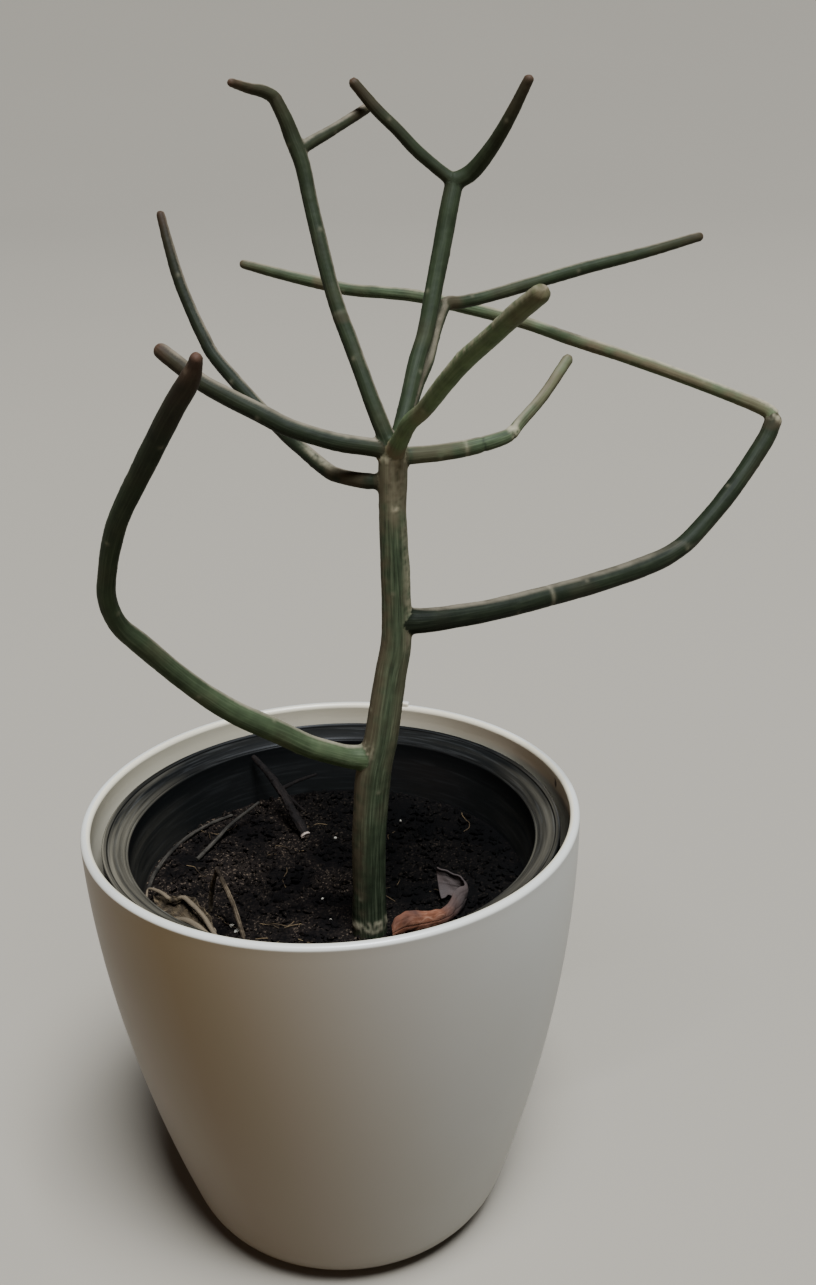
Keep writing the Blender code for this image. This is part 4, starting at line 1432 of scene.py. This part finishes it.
@dataclass
class NurseryPot:
    """The thin inner pot: a sloping rim with a groove and a bead, a stepped wall, a floor with drains."""

    outer_radius: float = 0.0924
    outer_height: float = 0.1822
    inner_radius: float = 0.0822
    inner_height: float = 0.1775
    skirt: float = 0.006
    wall: float = 0.0013
    shoulder_depth: float = 0.008
    shoulder_step: float = 0.0008
    foot_radius: float = 0.0530
    foot_rounding: float = 0.008
    underside: float = 0.0033
    rim_inset: float = 0.0004
    edge_share: float = 0.06
    groove_share: float = 0.16
    groove_half: float = 0.03
    groove_depth: float = 0.0006
    crown_height: float = 0.0004
    crown_shares: tuple[float, ...] = (0.30, 0.45, 0.60, 0.75, 0.86)
    bead: float = 0.0007
    drain_radius: float = 0.004
    drain_circle: float = 0.030
    drains: int = 4
    steps: int = 160
    finish: Finish = NurseryPlastic()

    def rim_point(self, share: float, above: float = 0.0) -> Point:
        """A point on the sloping rim.

        Args:
            share: 0 at its outer edge, 1 at its inner edge.
            above: Height over the slope.

        Returns:
            The (radius, height) point.
        """
        radius = self.outer_radius - self.rim_inset + share * (self.inner_radius - self.outer_radius)
        return radius, self.outer_height + share * (self.inner_height - self.outer_height) + above

    def build(self) -> bpy.types.Object:
        """Makes the inner pot.

        Returns:
            The pot as one mesh.
        """
        shoulder = self.inner_height - self.shoulder_depth
        shoulder_radius = self.inner_radius + self.wall - self.shoulder_step
        foot_centre = (self.foot_radius - self.foot_rounding, self.underside + self.foot_rounding)
        outline = [(0.0, self.underside), *arc(foot_centre, self.foot_rounding, -90, 0, 8)]
        outline += [
            (shoulder_radius, shoulder),
            (self.inner_radius + self.wall, shoulder + self.wall),
            (self.inner_radius + self.wall, self.inner_height - self.wall),
            (self.outer_radius - self.wall, self.outer_height - self.wall),
            (self.outer_radius - self.wall, self.outer_height - self.skirt),
            (self.outer_radius, self.outer_height - self.skirt),
        ]
        edge = (self.outer_radius - self.wall / 2, self.outer_height - self.wall / 2)
        outline += arc(edge, self.wall / 2, 0, 100, 6)
        for share in (self.edge_share, self.groove_share - self.groove_half):
            outline.append(self.rim_point(share))
        outline.append(self.rim_point(self.groove_share, -self.groove_depth))
        for share in (self.groove_share + self.groove_half, *self.crown_shares):
            beyond = (share - self.groove_share) / (1 - self.groove_share)
            crown = self.crown_height * math.sin(math.pi * beyond)
            outline.append(self.rim_point(share, crown))
        outline += arc((self.inner_radius + self.bead, self.inner_height), self.bead, 70, 180, 5)
        outline += [(self.inner_radius, shoulder + self.wall), (shoulder_radius - self.wall, shoulder)]
        outline += arc(foot_centre, self.foot_rounding - self.wall, 0, -90, 8)
        outline.append((0.0, self.underside + self.wall))
        pot = turned("inner_pot", outline, self.steps)
        for hole in range(self.drains):
            angle = math.tau * (hole + 0.5) / self.drains
            place = (self.drain_circle * math.cos(angle), self.drain_circle * math.sin(angle), self.underside)
            bpy.ops.mesh.primitive_cylinder_add(
                vertices=32, radius=self.drain_radius, depth=self.wall * 4, location=place
            )
            drill = bpy.context.object
            apply_modifier(pot, "BOOLEAN", operation="DIFFERENCE", object=drill, solver="EXACT")
            bpy.data.objects.remove(drill)
        return self.finish.dress(pot, "inner_pot", 50.0)


# Soil and what lies on it


COIR = DryPlantFibre("coir_fibre_dry", colour="#3f3323", pale_colour="#6f5d42", dark_colour="#20180f")


class Ground:
    """The soil's top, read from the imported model.

    A place that lies lower than the dip under the usual height is in the stem's hole, and gets that height.
    """

    dip = 0.004

    def __init__(self, node: str = "soil", usual: float = 0.1545) -> None:
        """Reads the node's surface.

        Args:
            node: The node that holds the soil.
            usual: The height given in the stem's hole and beside the soil.
        """
        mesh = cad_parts[node].data
        corners = [vertex.co for vertex in mesh.vertices]
        self.tree = BVHTree.FromPolygons(corners, [tuple(face.vertices) for face in mesh.polygons])
        self.usual = usual

    def height(self, x: float, y: float) -> float:
        """The soil's height at a place."""
        hit = self.tree.ray_cast(Vector((x, y, 1.0)), Vector((0, 0, -1)))[0]
        return hit.z if hit and hit.z > self.usual - self.dip else self.usual


@dataclass
class Soil:
    """The potting mix: a lumpy body with loose crumbs, perlite grains and root fibres on its top.

    The relief has a height, a size and a noise offset for each of its clods, creases and crumbs. The lumps'
    sizes are the least and the greatest radius. The smallness is the power that makes most of them small,
    and the rest is how high a lump's middle lies, as a share of its radius. The seen grains are those that
    the photograph shows.
    """

    ground: Ground
    edge_radius: float = 0.0784
    bottom: float = 0.0049
    bottom_radius: float = 0.0450
    foot_height: float = 0.0113
    foot_radius: float = 0.0514
    cell: float = 0.0010
    clods: Triple = (0.0013, 0.0090, 2.0)
    creases: Triple = (0.0007, 0.0040, 5.0)
    crumb_relief: Triple = (0.0005, 0.0016, 9.0)
    edge_fall: float = 0.004
    edge_relief: float = 0.15
    lump_kinds: int = 6
    lump_dents: float = 0.45
    lump_dent_size: float = 0.8
    lump_shape: tuple[Span, Span, Span] = ((0.7, 1.5), (0.6, 1.2), (0.4, 0.9))
    lump_tilt: float = 1.2
    lump_margin: float = 0.002
    lump_smallness: float = 2.2
    lump_rest: float = 0.6
    crumbs: int = 3000
    crumb_sizes: Span = (0.0005, 0.0020)
    crumb_sink: float = 0.10
    perlite: int = 8
    perlite_sizes: Span = (0.0003, 0.0006)
    perlite_sink: float = 0.25
    seen_grains: tuple[Triple, ...] = (
        (-5.5, -11.9, 0.9), (-2.6, -27.7, 0.7), (-41.7, -27.6, 1.2),
        (-39.8, -31.7, 1.0), (1.1, 35.8, 0.6), (-68.6, 5.2, 0.7),
    )
    fibres: int = 22
    fibre_margin: float = 0.012
    fibre_girths_mm: Span = (0.10, 0.20)
    fibre_heights: Span = (0.0002, 0.0018)
    fibre_steps: Span = (0.002, 0.0045)
    fibre_bend: float = 0.7
    fibre_points: tuple[int, int] = (3, 6)
    fibre_spacing: float = 0.0012
    seed: int = 7
    mix: Finish = PottingMix()
    mineral: Finish = ExpandedPerlite()

    def build(self) -> list[bpy.types.Object]:
        """Makes the soil and what is scattered on it.

        Returns:
            The soil, the perlite and the fibres.
        """
        draw = random.Random(self.seed)
        body = self.body()
        crumbs = self.scatter("soil_crumbs", self.crumbs, self.crumb_sizes, self.crumb_sink, draw)
        soil = self.mix.dress(joined([body, crumbs], "soil_mix"), "soil_mix", 60.0)
        name, sizes = "perlite_grains", self.perlite_sizes
        grains = self.scatter(name, self.perlite, sizes, self.perlite_sink, draw, self.seen_grains)
        self.mineral.dress(grains, name, 60.0)
        return [soil, grains, self.strands(draw)]

    def relief(self, places: np.ndarray) -> np.ndarray:
        """Height of the mix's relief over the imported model's soil.

        Args:
            places: Points on the soil.

        Returns:
            One height for each point.
        """
        clods, creases, crumbs = (
            (height, noise_at(places, size, offset))
            for height, size, offset in (self.clods, self.creases, self.crumb_relief)
        )
        return clods[0] * clods[1] + creases[0] * np.abs(creases[1]) + crumbs[0] * crumbs[1]

    def body(self) -> bpy.types.Object:
        """The block of mix, with its relief.

        Returns:
            A closed mesh.
        """
        half = math.ceil(self.edge_radius / self.cell) * self.cell
        cells = round(2 * half / self.cell)
        bpy.ops.mesh.primitive_grid_add(x_subdivisions=cells, y_subdivisions=cells, size=2 * half)
        made = bpy.context.object
        places = coordinates(made)
        reach = np.hypot(places[:, 0], places[:, 1])
        inside = reach < self.edge_radius + self.cell * 0.5
        activate(made)
        bpy.ops.object.mode_set(mode="EDIT")
        bpy.ops.mesh.select_all(action="DESELECT")
        bpy.ops.mesh.select_mode(type="VERT")
        bpy.ops.object.mode_set(mode="OBJECT")
        made.data.vertices.foreach_set("select", ~inside)
        bpy.ops.object.mode_set(mode="EDIT")
        bpy.ops.mesh.delete(type="VERT")
        bpy.ops.mesh.select_all(action="SELECT")
        bpy.ops.mesh.region_to_loop()
        for drop in (self.foot_height - self.ground.usual, self.bottom - self.foot_height):
            bpy.ops.mesh.extrude_edges_move(TRANSFORM_OT_translate={"value": (0, 0, drop)})
        bpy.ops.object.mode_set(mode="OBJECT")
        places = coordinates(made)
        reach = np.maximum(np.hypot(places[:, 0], places[:, 1]), TINY)
        floor = self.bottom - self.ground.usual
        top = places[:, 2] > floor / 2
        low = places[:, 2] < floor + 0.5 * (self.foot_height - self.bottom)
        rim = top & (reach > self.edge_radius - self.cell * 0.75)
        radii = [self.edge_radius, self.bottom_radius, self.foot_radius]
        places[:, :2] *= (np.select([rim, low, ~top], radii, reach) / reach)[:, None]
        base = np.array([self.ground.height(x, y) for x, y, _ in places[top]])
        fall = np.clip((self.edge_radius - reach[top]) / self.edge_fall, self.edge_relief, 1.0)
        places[top, 2] = base + self.relief(places[top]) * fall
        places[~top, 2] = self.foot_height
        places[low, 2] = self.bottom
        move_to(made, places)
        bpy.ops.object.mode_set(mode="EDIT")
        bpy.ops.mesh.select_all(action="DESELECT")
        bpy.ops.mesh.select_non_manifold()
        bpy.ops.mesh.edge_face_add()
        bpy.ops.mesh.select_all(action="SELECT")
        bpy.ops.mesh.normals_make_consistent(inside=False)
        bpy.ops.object.mode_set(mode="OBJECT")
        return made

    def lump(self, number: int) -> bpy.types.Object:
        """Models one rough lump of about 1 m radius, to be copied small.

        Args:
            number: Which of the lumps it is; each has its own dents.

        Returns:
            Its mesh object.
        """
        bpy.ops.mesh.primitive_ico_sphere_add(subdivisions=1, radius=1.0)
        made = bpy.context.object
        places = coordinates(made)
        dents = 1.0 + self.lump_dents * noise_at(places, self.lump_dent_size, 3.1 * number)
        move_to(made, places * dents[:, None])
        return made

    def anywhere(self, margin: float, draw: random.Random) -> Span:
        """A random place on the soil.

        Args:
            margin: How far it keeps from the edge.
            draw: The seeded source of random numbers.

        Returns:
            Its x and y.
        """
        reach = (self.edge_radius - margin) * math.sqrt(draw.random())
        turn = draw.uniform(0.0, math.tau)
        return reach * math.cos(turn), reach * math.sin(turn)

    def scatter(
        self,
        name: str,
        count: int,
        sizes: Span,
        sink: float,
        draw: random.Random,
        seen: Sequence[Triple] = (),
    ) -> bpy.types.Object:
        """Strews copies of a few rough lumps over the soil.

        Args:
            name: The object's name.
            count: How many lumps.
            sizes: The smallest and the largest lump's radius.
            sink: How deep each sits, as a share of its radius.
            draw: The seeded source of random numbers.
            seen: The (x, y, radius) in mm of more lumps, which the photograph shows.

        Returns:
            One mesh with all the lumps.
        """
        models = [self.lump(number) for number in range(self.lump_kinds)]
        copies = []
        for number in range(count + len(seen)):
            model = models[number % len(models)]
            x, y = self.anywhere(self.lump_margin, draw)
            size = sizes[0] + (sizes[1] - sizes[0]) * draw.random() ** self.lump_smallness
            if number >= count:
                x, y, size = (each * MM for each in seen[number - count])
            stretch = [draw.uniform(*span) for span in self.lump_shape]
            swivel = Matrix.Rotation(draw.uniform(0, math.tau), 4, "Z")
            tilt = Matrix.Rotation(draw.uniform(0, self.lump_tilt), 4, "X")
            copy = model.copy()
            copy.data = model.data.copy()
            z = self.ground.height(x, y) + size * (self.lump_rest - sink)
            scale = Matrix.Diagonal((*(share * size for share in stretch), 1.0))
            copy.matrix_world = Matrix.Translation((x, y, z)) @ (swivel @ tilt) @ scale
            bpy.context.scene.collection.objects.link(copy)
            copies.append(copy)
        for model in models:
            bpy.data.objects.remove(model)
        return settled(joined(copies, name), name)

    def strands(self, draw: random.Random) -> bpy.types.Object:
        """Thin, pale root and coir fibres that lie on the mix.

        Args:
            draw: The seeded source of random numbers.

        Returns:
            One mesh with all the fibres.
        """
        made, routes = [], []
        for number in range(self.fibres):
            x, y = self.anywhere(self.fibre_margin, draw)
            heading = draw.uniform(0.0, math.tau)
            girth = draw.uniform(*self.fibre_girths_mm)
            rows = []
            for _ in range(draw.randint(*self.fibre_points)):
                z = self.ground.height(x, y) + draw.uniform(*self.fibre_heights)
                rows.append((x / MM, y / MM, z / MM, girth))
                heading += draw.uniform(-self.fibre_bend, self.fibre_bend)
                step = draw.uniform(*self.fibre_steps)
                x += step * math.cos(heading)
                y += step * math.sin(heading)
            route = smooth_route(rows, self.fibre_spacing)
            routes.append(route)
            made.append(swept(f"fibre_{number}", route, resolution=0))
        fibres = joined(made, "root_fibres")
        write_attribute(fibres, "grain", Along(routes).locate(coordinates(fibres))["grain"])
        return COIR.dress(fibres, "root_fibres")


@dataclass(frozen=True)
class Stalk:
    """A dead stalk: (x, y, height above the soil, radius) rows in mm for each leg, and its fibres' finish.

    A cut end is a flat, pale one where the first leg ends.
    """

    name: str
    node: str
    slot: str
    legs: tuple[tuple[Row, ...], ...]
    finish: Finish
    rough: float = 0.12
    cut_end: bool = False


STRAW = DryPlantFibre("dry_stalk_fibre", colour="#473c2e", pale_colour="#766956", dark_colour="#1c150f")
# Painted shade: a darker, greyer copy of the stalk fibre for the two stalks in the wall's shade
SHADED_STRAW = DryPlantFibre(
    "shaded_stalk_fibre", colour="#25221d", pale_colour="#413c35", dark_colour="#12100d"
)
BARK = DryPlantFibre(
    "dead_bark", roughness=0.85, colour="#0e0a08", pale_colour="#1e1714", dark_colour="#070504",
    faded_colour="#a8978a", fibre_width=0.0006,
)
STALKS = (
    Stalk(
        "dead_twig",
        "dry_twig",
        "dead_wood",
        (
            (
                (-34, 72.8, 22.6, 1.2), (-29.5, 66.5, 19.8, 1.5), (-22.2, 54.5, 14.8, 1.9),
                (-11.5, 35, 2.4, 2.2),
            ),
            ((-22.2, 54.5, 14.8, 1), (-14.5, 64.5, 13, 0.8), (-6.2, 74, 10.8, 0.6)),
            ((-22.2, 54.5, 14.8, 1), (-17, 54, 9.5, 0.8), (-12.1, 53.4, 4.5, 0.6)),
        ),
        BARK,
        rough=0.16,
        cut_end=True,
    ),
    Stalk(
        "long_stalk",
        "dry_stalk_long",
        "dry_stalk",
        (
            (
                (-76.6, -1, 1.4, 0.9), (-75.2, 11.5, 1.4, 0.9), (-70, 27.5, 1.4, 0.9),
                (-62.5, 40.5, 1.4, 0.8), (-53.5, 51, 1.4, 0.7), (-44.5, 57.5, 1.8, 0.6),
            ),
        ),
        SHADED_STRAW,
    ),
    Stalk(
        "short_stalk",
        "dry_stalk_short",
        "dry_stalk",
        (((-58, 22, 1.4, 0.9), (-51.5, 32.5, 3, 0.9), (-44, 44.5, 5, 0.8), (-32, 54, 9, 0.6)),),
        SHADED_STRAW,
    ),
    Stalk(
        "folded_stalk",
        "bent_stalk",
        "dry_stalk",
        (
            ((-35.5, -36.8, -3, 1), (-40, -32, 12, 1), (-45.5, -27.5, 26.5, 0.9)),
            ((-51.3, -14.4, -3, 1), (-49, -20, 12, 1), (-45.5, -27.5, 26.5, 0.9)),
        ),
        STRAW,
    ),
)


@dataclass(frozen=True)
class Leaf:
    """A dead leaf: (x, y, lower edge above the soil, half width) rows in mm, each with its lean in degrees.

    Its ribs are the strips that rolled up while it dried: rows of (x, y, z, radius) in mm. The bow, the
    crumple, the veins and the curl of the edges raise its blade, and the fade runs toward its tip.
    """

    name: str
    node: str
    slot: str
    rows: tuple[tuple[float, float, float, float, float], ...]
    finish: Finish
    ribs: tuple[tuple[Row, ...], ...] = ()
    clearance: float = 0.6
    bow: float = 0.25
    crumple: float = 0.0003
    fold_size: float = 0.006
    ragged: float = 0.10
    curl: float = 0.0
    curl_from: float = 0.6
    faded: float = 0.0
    faded_from: float = 0.5
    faded_edge: float = 0.18
    rib_fade: float = 0.0
    veins: int = 3
    vein_width: float = 0.25
    vein_height: float = 0.00022
    thickness: float = 0.0007


LEAVES = (
    Leaf(
        "brown_leaf",
        "curled_leaf",
        "dry_leaf",
        (
            (20.8, -46.2, 1, 2.2, 84), (22.8, -46, -0.4, 4.6, 84), (27, -44.6, -0.6, 5.2, 88),
            (33, -42.6, -0.6, 4.5, 90), (40, -39.4, -0.6, 3.6, 92), (44.5, -36.3, -0.6, 3.7, 92),
            (48.8, -32.4, -0.3, 5.2, 92), (52.2, -26, 0.4, 4.9, 80), (51, -19, 1.2, 4.1, 68),
            (45.5, -16.5, 1.4, 5, 62), (41, -17, 1.8, 6.6, 60),
        ),
        DryPlantFibre(
            "dead_leaf_red",
            colour="#583524", pale_colour="#70503f", dark_colour="#3a251e", faded_colour="#2e2b2a",
            blotch_size=0.010,
        ),
        faded=0.9, faded_from=0.38, crumple=0.0005, ragged=0.20, curl=0.0012,
    ),
    Leaf(
        "tan_leaf",
        "crumpled_leaf",
        "dry_stalk",
        (
            (-72.5, -7, 1, 1.2, -10), (-68, -14.5, 0.6, 3.4, -22), (-62.5, -20.5, 0.6, 6.2, -28),
            (-56.5, -27.5, 0.6, 6.8, -24), (-52, -34, 0.6, 4.5, -14), (-48.5, -39, 0.8, 2, -6),
        ),
        DryPlantFibre(
            "dead_leaf_tan",
            colour="#2c2419", pale_colour="#5a4d3a", dark_colour="#120d08", faded_colour="#6d6150",
        ),
        ribs=(
            (
                (-76.4, -9.8, 157.6, 0.5), (-75.6, -6.4, 160, 0.5), (-70.6, -11.8, 161.8, 0.8),
                (-65, -17.8, 161.2, 0.9), (-60.5, -20, 163.4, 1), (-56.6, -25.5, 163.4, 1.1),
                (-52, -32, 161.9, 1), (-49.2, -36.9, 159.8, 1), (-46.8, -41.5, 158.4, 0.8),
            ),
            (
                (-63.8, -28.9, 159.2, 0.9), (-59.1, -32, 160.8, 1.2), (-54.6, -35.7, 160.3, 1.2),
                (-50.6, -39.2, 158.8, 0.9),
            ),
        ),
        rib_fade=0.50, crumple=0.0013, fold_size=0.0055, ragged=0.35, curl=0.0011,
    ),
)


@dataclass
class DeadMatter:
    """The dead twig, stalks and leaves on the soil.

    The notches and wrinkles of a leaf are sized as shares of its folds. Its two edges lie apart in the
    noise, so that their notches differ.
    """

    ground: Ground
    route_spacing: float = 0.0005
    blade_spacing: float = 0.0006
    blade_cells: int = 24
    voxel: float = 0.00028
    knot_size: float = 0.003
    ridge_size: float = 0.0012
    cut_depth: float = 0.0007
    cut_reach: float = 1.6
    cut_fade: float = 0.9
    rib_roughness: float = 0.10
    rib_knot_size: float = 0.002
    edges_apart: float = 0.02
    notch_share: float = 0.7
    wrinkle_share: float = 0.4
    wrinkle_height: float = 0.5

    def over(self, x: float, y: float, above: float) -> float:
        """The height of a place above the soil, all in mm."""
        return self.ground.height(x * MM, y * MM) / MM + above

    def stalk(self, plan: Stalk) -> bpy.types.Object:
        """Makes a twig or a stalk.

        Args:
            plan: What it is like.

        Returns:
            Its mesh object.
        """
        routes = []
        for leg in plan.legs:
            rows = [(x, y, self.over(x, y, above), girth) for x, y, above, girth in leg]
            route = smooth_route(rows, self.route_spacing)
            routes.append(route if plan.cut_end and not routes else domed(route))
        parts = [swept(f"{plan.name}_{number}", route, resolution=4) for number, route in enumerate(routes)]
        made = joined(parts, plan.name)
        if len(routes) > 1:
            apply_modifier(made, "REMESH", mode="VOXEL", voxel_size=self.voxel, use_smooth_shade=True)
            apply_modifier(made, "SMOOTH", factor=0.5, iterations=2)
        places, normals = coordinates(made), coordinates(made, "normal")
        spot = Along(routes).locate(places)
        bumps = noise_at(places, self.knot_size) + noise_at(spot["grain"], self.ridge_size, 4.0)
        lift = spot["radius"] * plan.rough * bumps
        move_to(made, places + normals * lift[:, None])
        write_attribute(made, "grain", spot["grain"])
        cut = np.clip(self.cut_reach - spot["left"] / self.cut_depth, 0.0, 1.0)
        cut *= (spot["stem"] == 0) * plan.cut_end
        write_attribute(made, "fade", self.cut_fade * cut)
        return plan.finish.dress(made, plan.name, 60.0)

    def blade(self, plan: Leaf) -> tuple[bpy.types.Object, np.ndarray]:
        """Lays a grid along a leaf's rows, crumples it and gives it its veins and its thickness.

        Args:
            plan: What the leaf is like.

        Returns:
            The blade, and the route that it lies along.
        """
        rows = []
        for x, y, above, half, lean in plan.rows:
            tilt, level = abs(math.sin(math.radians(lean))), math.cos(math.radians(lean))
            drop = max(share * tilt - share * share * plan.bow * level for share in (0.4, 1.0)) * half
            rows.append((x, y, self.over(x, y, above) + plan.clearance + drop, half))
        route = smooth_route(rows, self.blade_spacing)
        reach = np.linspace(0.0, len(rows) - 1.0, len(route))
        lean = np.interp(reach, range(len(rows)), [math.radians(row[4]) for row in plan.rows])
        cells = len(route) - 1
        bpy.ops.mesh.primitive_grid_add(x_subdivisions=cells, y_subdivisions=self.blade_cells, size=2.0)
        made = bpy.context.object
        sheet = coordinates(made)
        index = np.rint((sheet[:, 0] + 1.0) / 2.0 * cells).astype(int)
        share = sheet[:, 1]
        step = np.linalg.norm(np.diff(route[:, :3], axis=0), axis=1)
        reached = np.concatenate([[0.0], np.cumsum(step)])[index]
        ahead = np.gradient(route[:, :3], axis=0)
        ahead[:, 2] = 0.0
        ahead /= np.linalg.norm(ahead, axis=1)[:, None]
        outward = np.cross(ahead, UP)
        side = outward * np.cos(lean)[:, None] + np.array(UP) * np.sin(lean)[:, None]
        hollow = np.cross(side, ahead)
        edge = np.stack([reached, np.sign(share) * self.edges_apart, share * 0.0], axis=1)
        notches = noise_at(edge, plan.fold_size * self.notch_share, 3.0)
        half = route[index, 3] * (1.0 + plan.ragged * notches * share**2)
        flat = np.stack([reached, share * half, share * 0.0], axis=1)
        creases = noise_at(flat, plan.fold_size, 1.0)
        wrinkles = noise_at(flat, plan.fold_size * self.wrinkle_share, 6.0)
        folds = 1.0 - 2.0 * np.abs(creases) + self.wrinkle_height * wrinkles
        vein = np.exp(-((np.sin(share * math.pi * plan.veins / 2.0) / plan.vein_width) ** 2))
        rise = plan.bow * share**2 * half + plan.vein_height * vein + plan.crumple * folds
        rise += plan.curl * np.clip((np.abs(share) - plan.curl_from) / (1.0 - plan.curl_from), 0.0, 1.0) ** 2
        places = route[index, :3] + side[index] * (share * half)[:, None]
        move_to(made, places + hollow[index] * rise[:, None])
        apply_modifier(made, "SOLIDIFY", thickness=plan.thickness, offset=0.0)
        apply_modifier(made, "SUBSURF", levels=1, render_levels=1)
        return made, route

    def leaf(self, plan: Leaf) -> bpy.types.Object:
        """Makes a leaf: its crumpled blade and its rolled strips.

        Args:
            plan: What it is like.

        Returns:
            Its mesh object.
        """
        blade, route = self.blade(plan)
        ribs = [domed(smooth_route(rib, self.route_spacing)) for rib in plan.ribs]
        strips = [swept(f"{plan.name}_rib_{number}", rib, resolution=4) for number, rib in enumerate(ribs)]
        made = joined([blade, *strips], plan.name)
        places = coordinates(made)
        spot = Along([route, *ribs]).locate(places)
        on_rib = spot["stem"] > 0
        rough = self.rib_roughness * spot["radius"] * on_rib * noise_at(places, self.rib_knot_size)
        move_to(made, places + coordinates(made, "normal") * rough[:, None])
        write_attribute(made, "grain", spot["grain"])
        share = spot["along"] / np.maximum(spot["along"] + spot["left"], TINY)
        fade = np.clip((share - plan.faded_from) / plan.faded_edge, 0.0, 1.0) * plan.faded
        write_attribute(made, "fade", np.where(on_rib, plan.rib_fade, fade))
        return plan.finish.dress(made, plan.name, 180.0)


# Studio


@dataclass(frozen=True)
class Softbox:
    """A square soft light: where it stands, what it points at, its side, its power in watts, its colour."""

    name: str
    place: Triple
    target: Triple
    size: float
    power: float
    colour: str

    def build(self) -> None:
        """Adds the light to the scene."""
        data = bpy.data.lights.new(self.name, "AREA")
        data.size = self.size
        data.energy = self.power
        data.color = linear(self.colour)[:3]
        light = bpy.data.objects.new(self.name, data)
        aim = Vector(self.target) - Vector(self.place)
        light.rotation_euler = aim.to_track_quat("-Z", "Y").to_euler()
        light.location = self.place
        bpy.context.scene.collection.objects.link(light)


@dataclass
class Studio:
    """A pale paper floor, soft lights and the camera at the photograph's viewing angle."""

    floor_radius: float = 3.4
    cove_radius: float = 6.0
    camera_place: Triple = (0.0, -0.5347, 0.4853)
    pitch_deg: float = 22.85
    yaw_deg: float = 3.54
    roll_deg: float = 1.71
    focal_px: float = 1500.0
    image_height_px: float = 1285.0
    sensor: float = 36.0
    paper: Finish = StudioPaper()
    air_colour: str = "#e4e9ee"
    air_strength: float = 0.05
    lights: tuple[Softbox, ...] = (
        Softbox("key_light", (1.60, -4.10, 12.00), (0.0, 0.0, 0.20), 4.8, 6400.0, "#eff6ff"),
        Softbox("warm_fill", (-2.6, -1.6, 1.3), (0.0, 0.0, 0.10), 1.4, 6.0, "#ff9e50"),
    )

    def build(self) -> None:
        """Makes the camera, the floor, the world and the lights."""
        self.camera()
        cove = arc((self.floor_radius, self.cove_radius), self.cove_radius, -90, -32, 20)
        floor = turned("studio_floor", [(0.0, 0.0), *cove], 96)
        floor.data.materials.append(self.paper.material())
        world = bpy.data.worlds.new("studio_air")
        world.use_nodes = True
        background = world.node_tree.nodes["Background"]
        background.inputs["Color"].default_value = linear(self.air_colour)
        background.inputs["Strength"].default_value = self.air_strength
        bpy.context.scene.world = world
        for light in self.lights:
            light.build()

    def camera(self) -> None:
        """Places the camera by its pitch, yaw and roll."""
        data = bpy.data.cameras.new("camera")
        data.sensor_width = self.sensor
        data.lens = self.focal_px / self.image_height_px * self.sensor
        data.clip_start = 0.01
        turn = (
            Matrix.Rotation(-math.radians(self.yaw_deg), 4, "Z")
            @ Matrix.Rotation(math.radians(90.0 - self.pitch_deg), 4, "X")
            @ Matrix.Rotation(-math.radians(self.roll_deg), 4, "Z")
        )
        camera = bpy.data.objects.new("camera", data)
        camera.matrix_world = Matrix.Translation(self.camera_place) @ turn
        bpy.context.scene.collection.objects.link(camera)
        bpy.context.scene.camera = camera


def place(piece: bpy.types.Object, slot: str, *nodes: str) -> None:
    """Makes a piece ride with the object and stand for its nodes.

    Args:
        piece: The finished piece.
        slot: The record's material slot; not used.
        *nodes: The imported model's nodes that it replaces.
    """
    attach(piece, ROOT)
    if nodes:
        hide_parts(*nodes)
    log.info("%s: %d triangles", piece.name, sum(len(face.vertices) - 2 for face in piece.data.polygons))


def main() -> None:
    """Builds the pots, the soil, the dead matter and the plant, then the studio, and reports each piece."""
    logging.basicConfig(level=logging.INFO, format="%(name)s: %(message)s")
    place(Planter().build(), "planter_plastic", "cover_pot")
    place(NurseryPot().build(), "liner_plastic", "nursery_pot")
    ground = Ground()
    soil, perlite, fibres = Soil(ground).build()
    place(soil, "potting_soil", "soil")
    place(perlite, "potting_soil")
    place(fibres, "dry_stalk")
    debris = DeadMatter(ground)
    for stalk in STALKS:
        place(debris.stalk(stalk), stalk.slot, stalk.node)
    for leaf in LEAVES:
        place(debris.leaf(leaf), leaf.slot, leaf.node)
    place(PencilCactus().build(), "succulent_skin", "pencil_cactus")
    Studio().build()


if __name__ == "__main__":
    main()
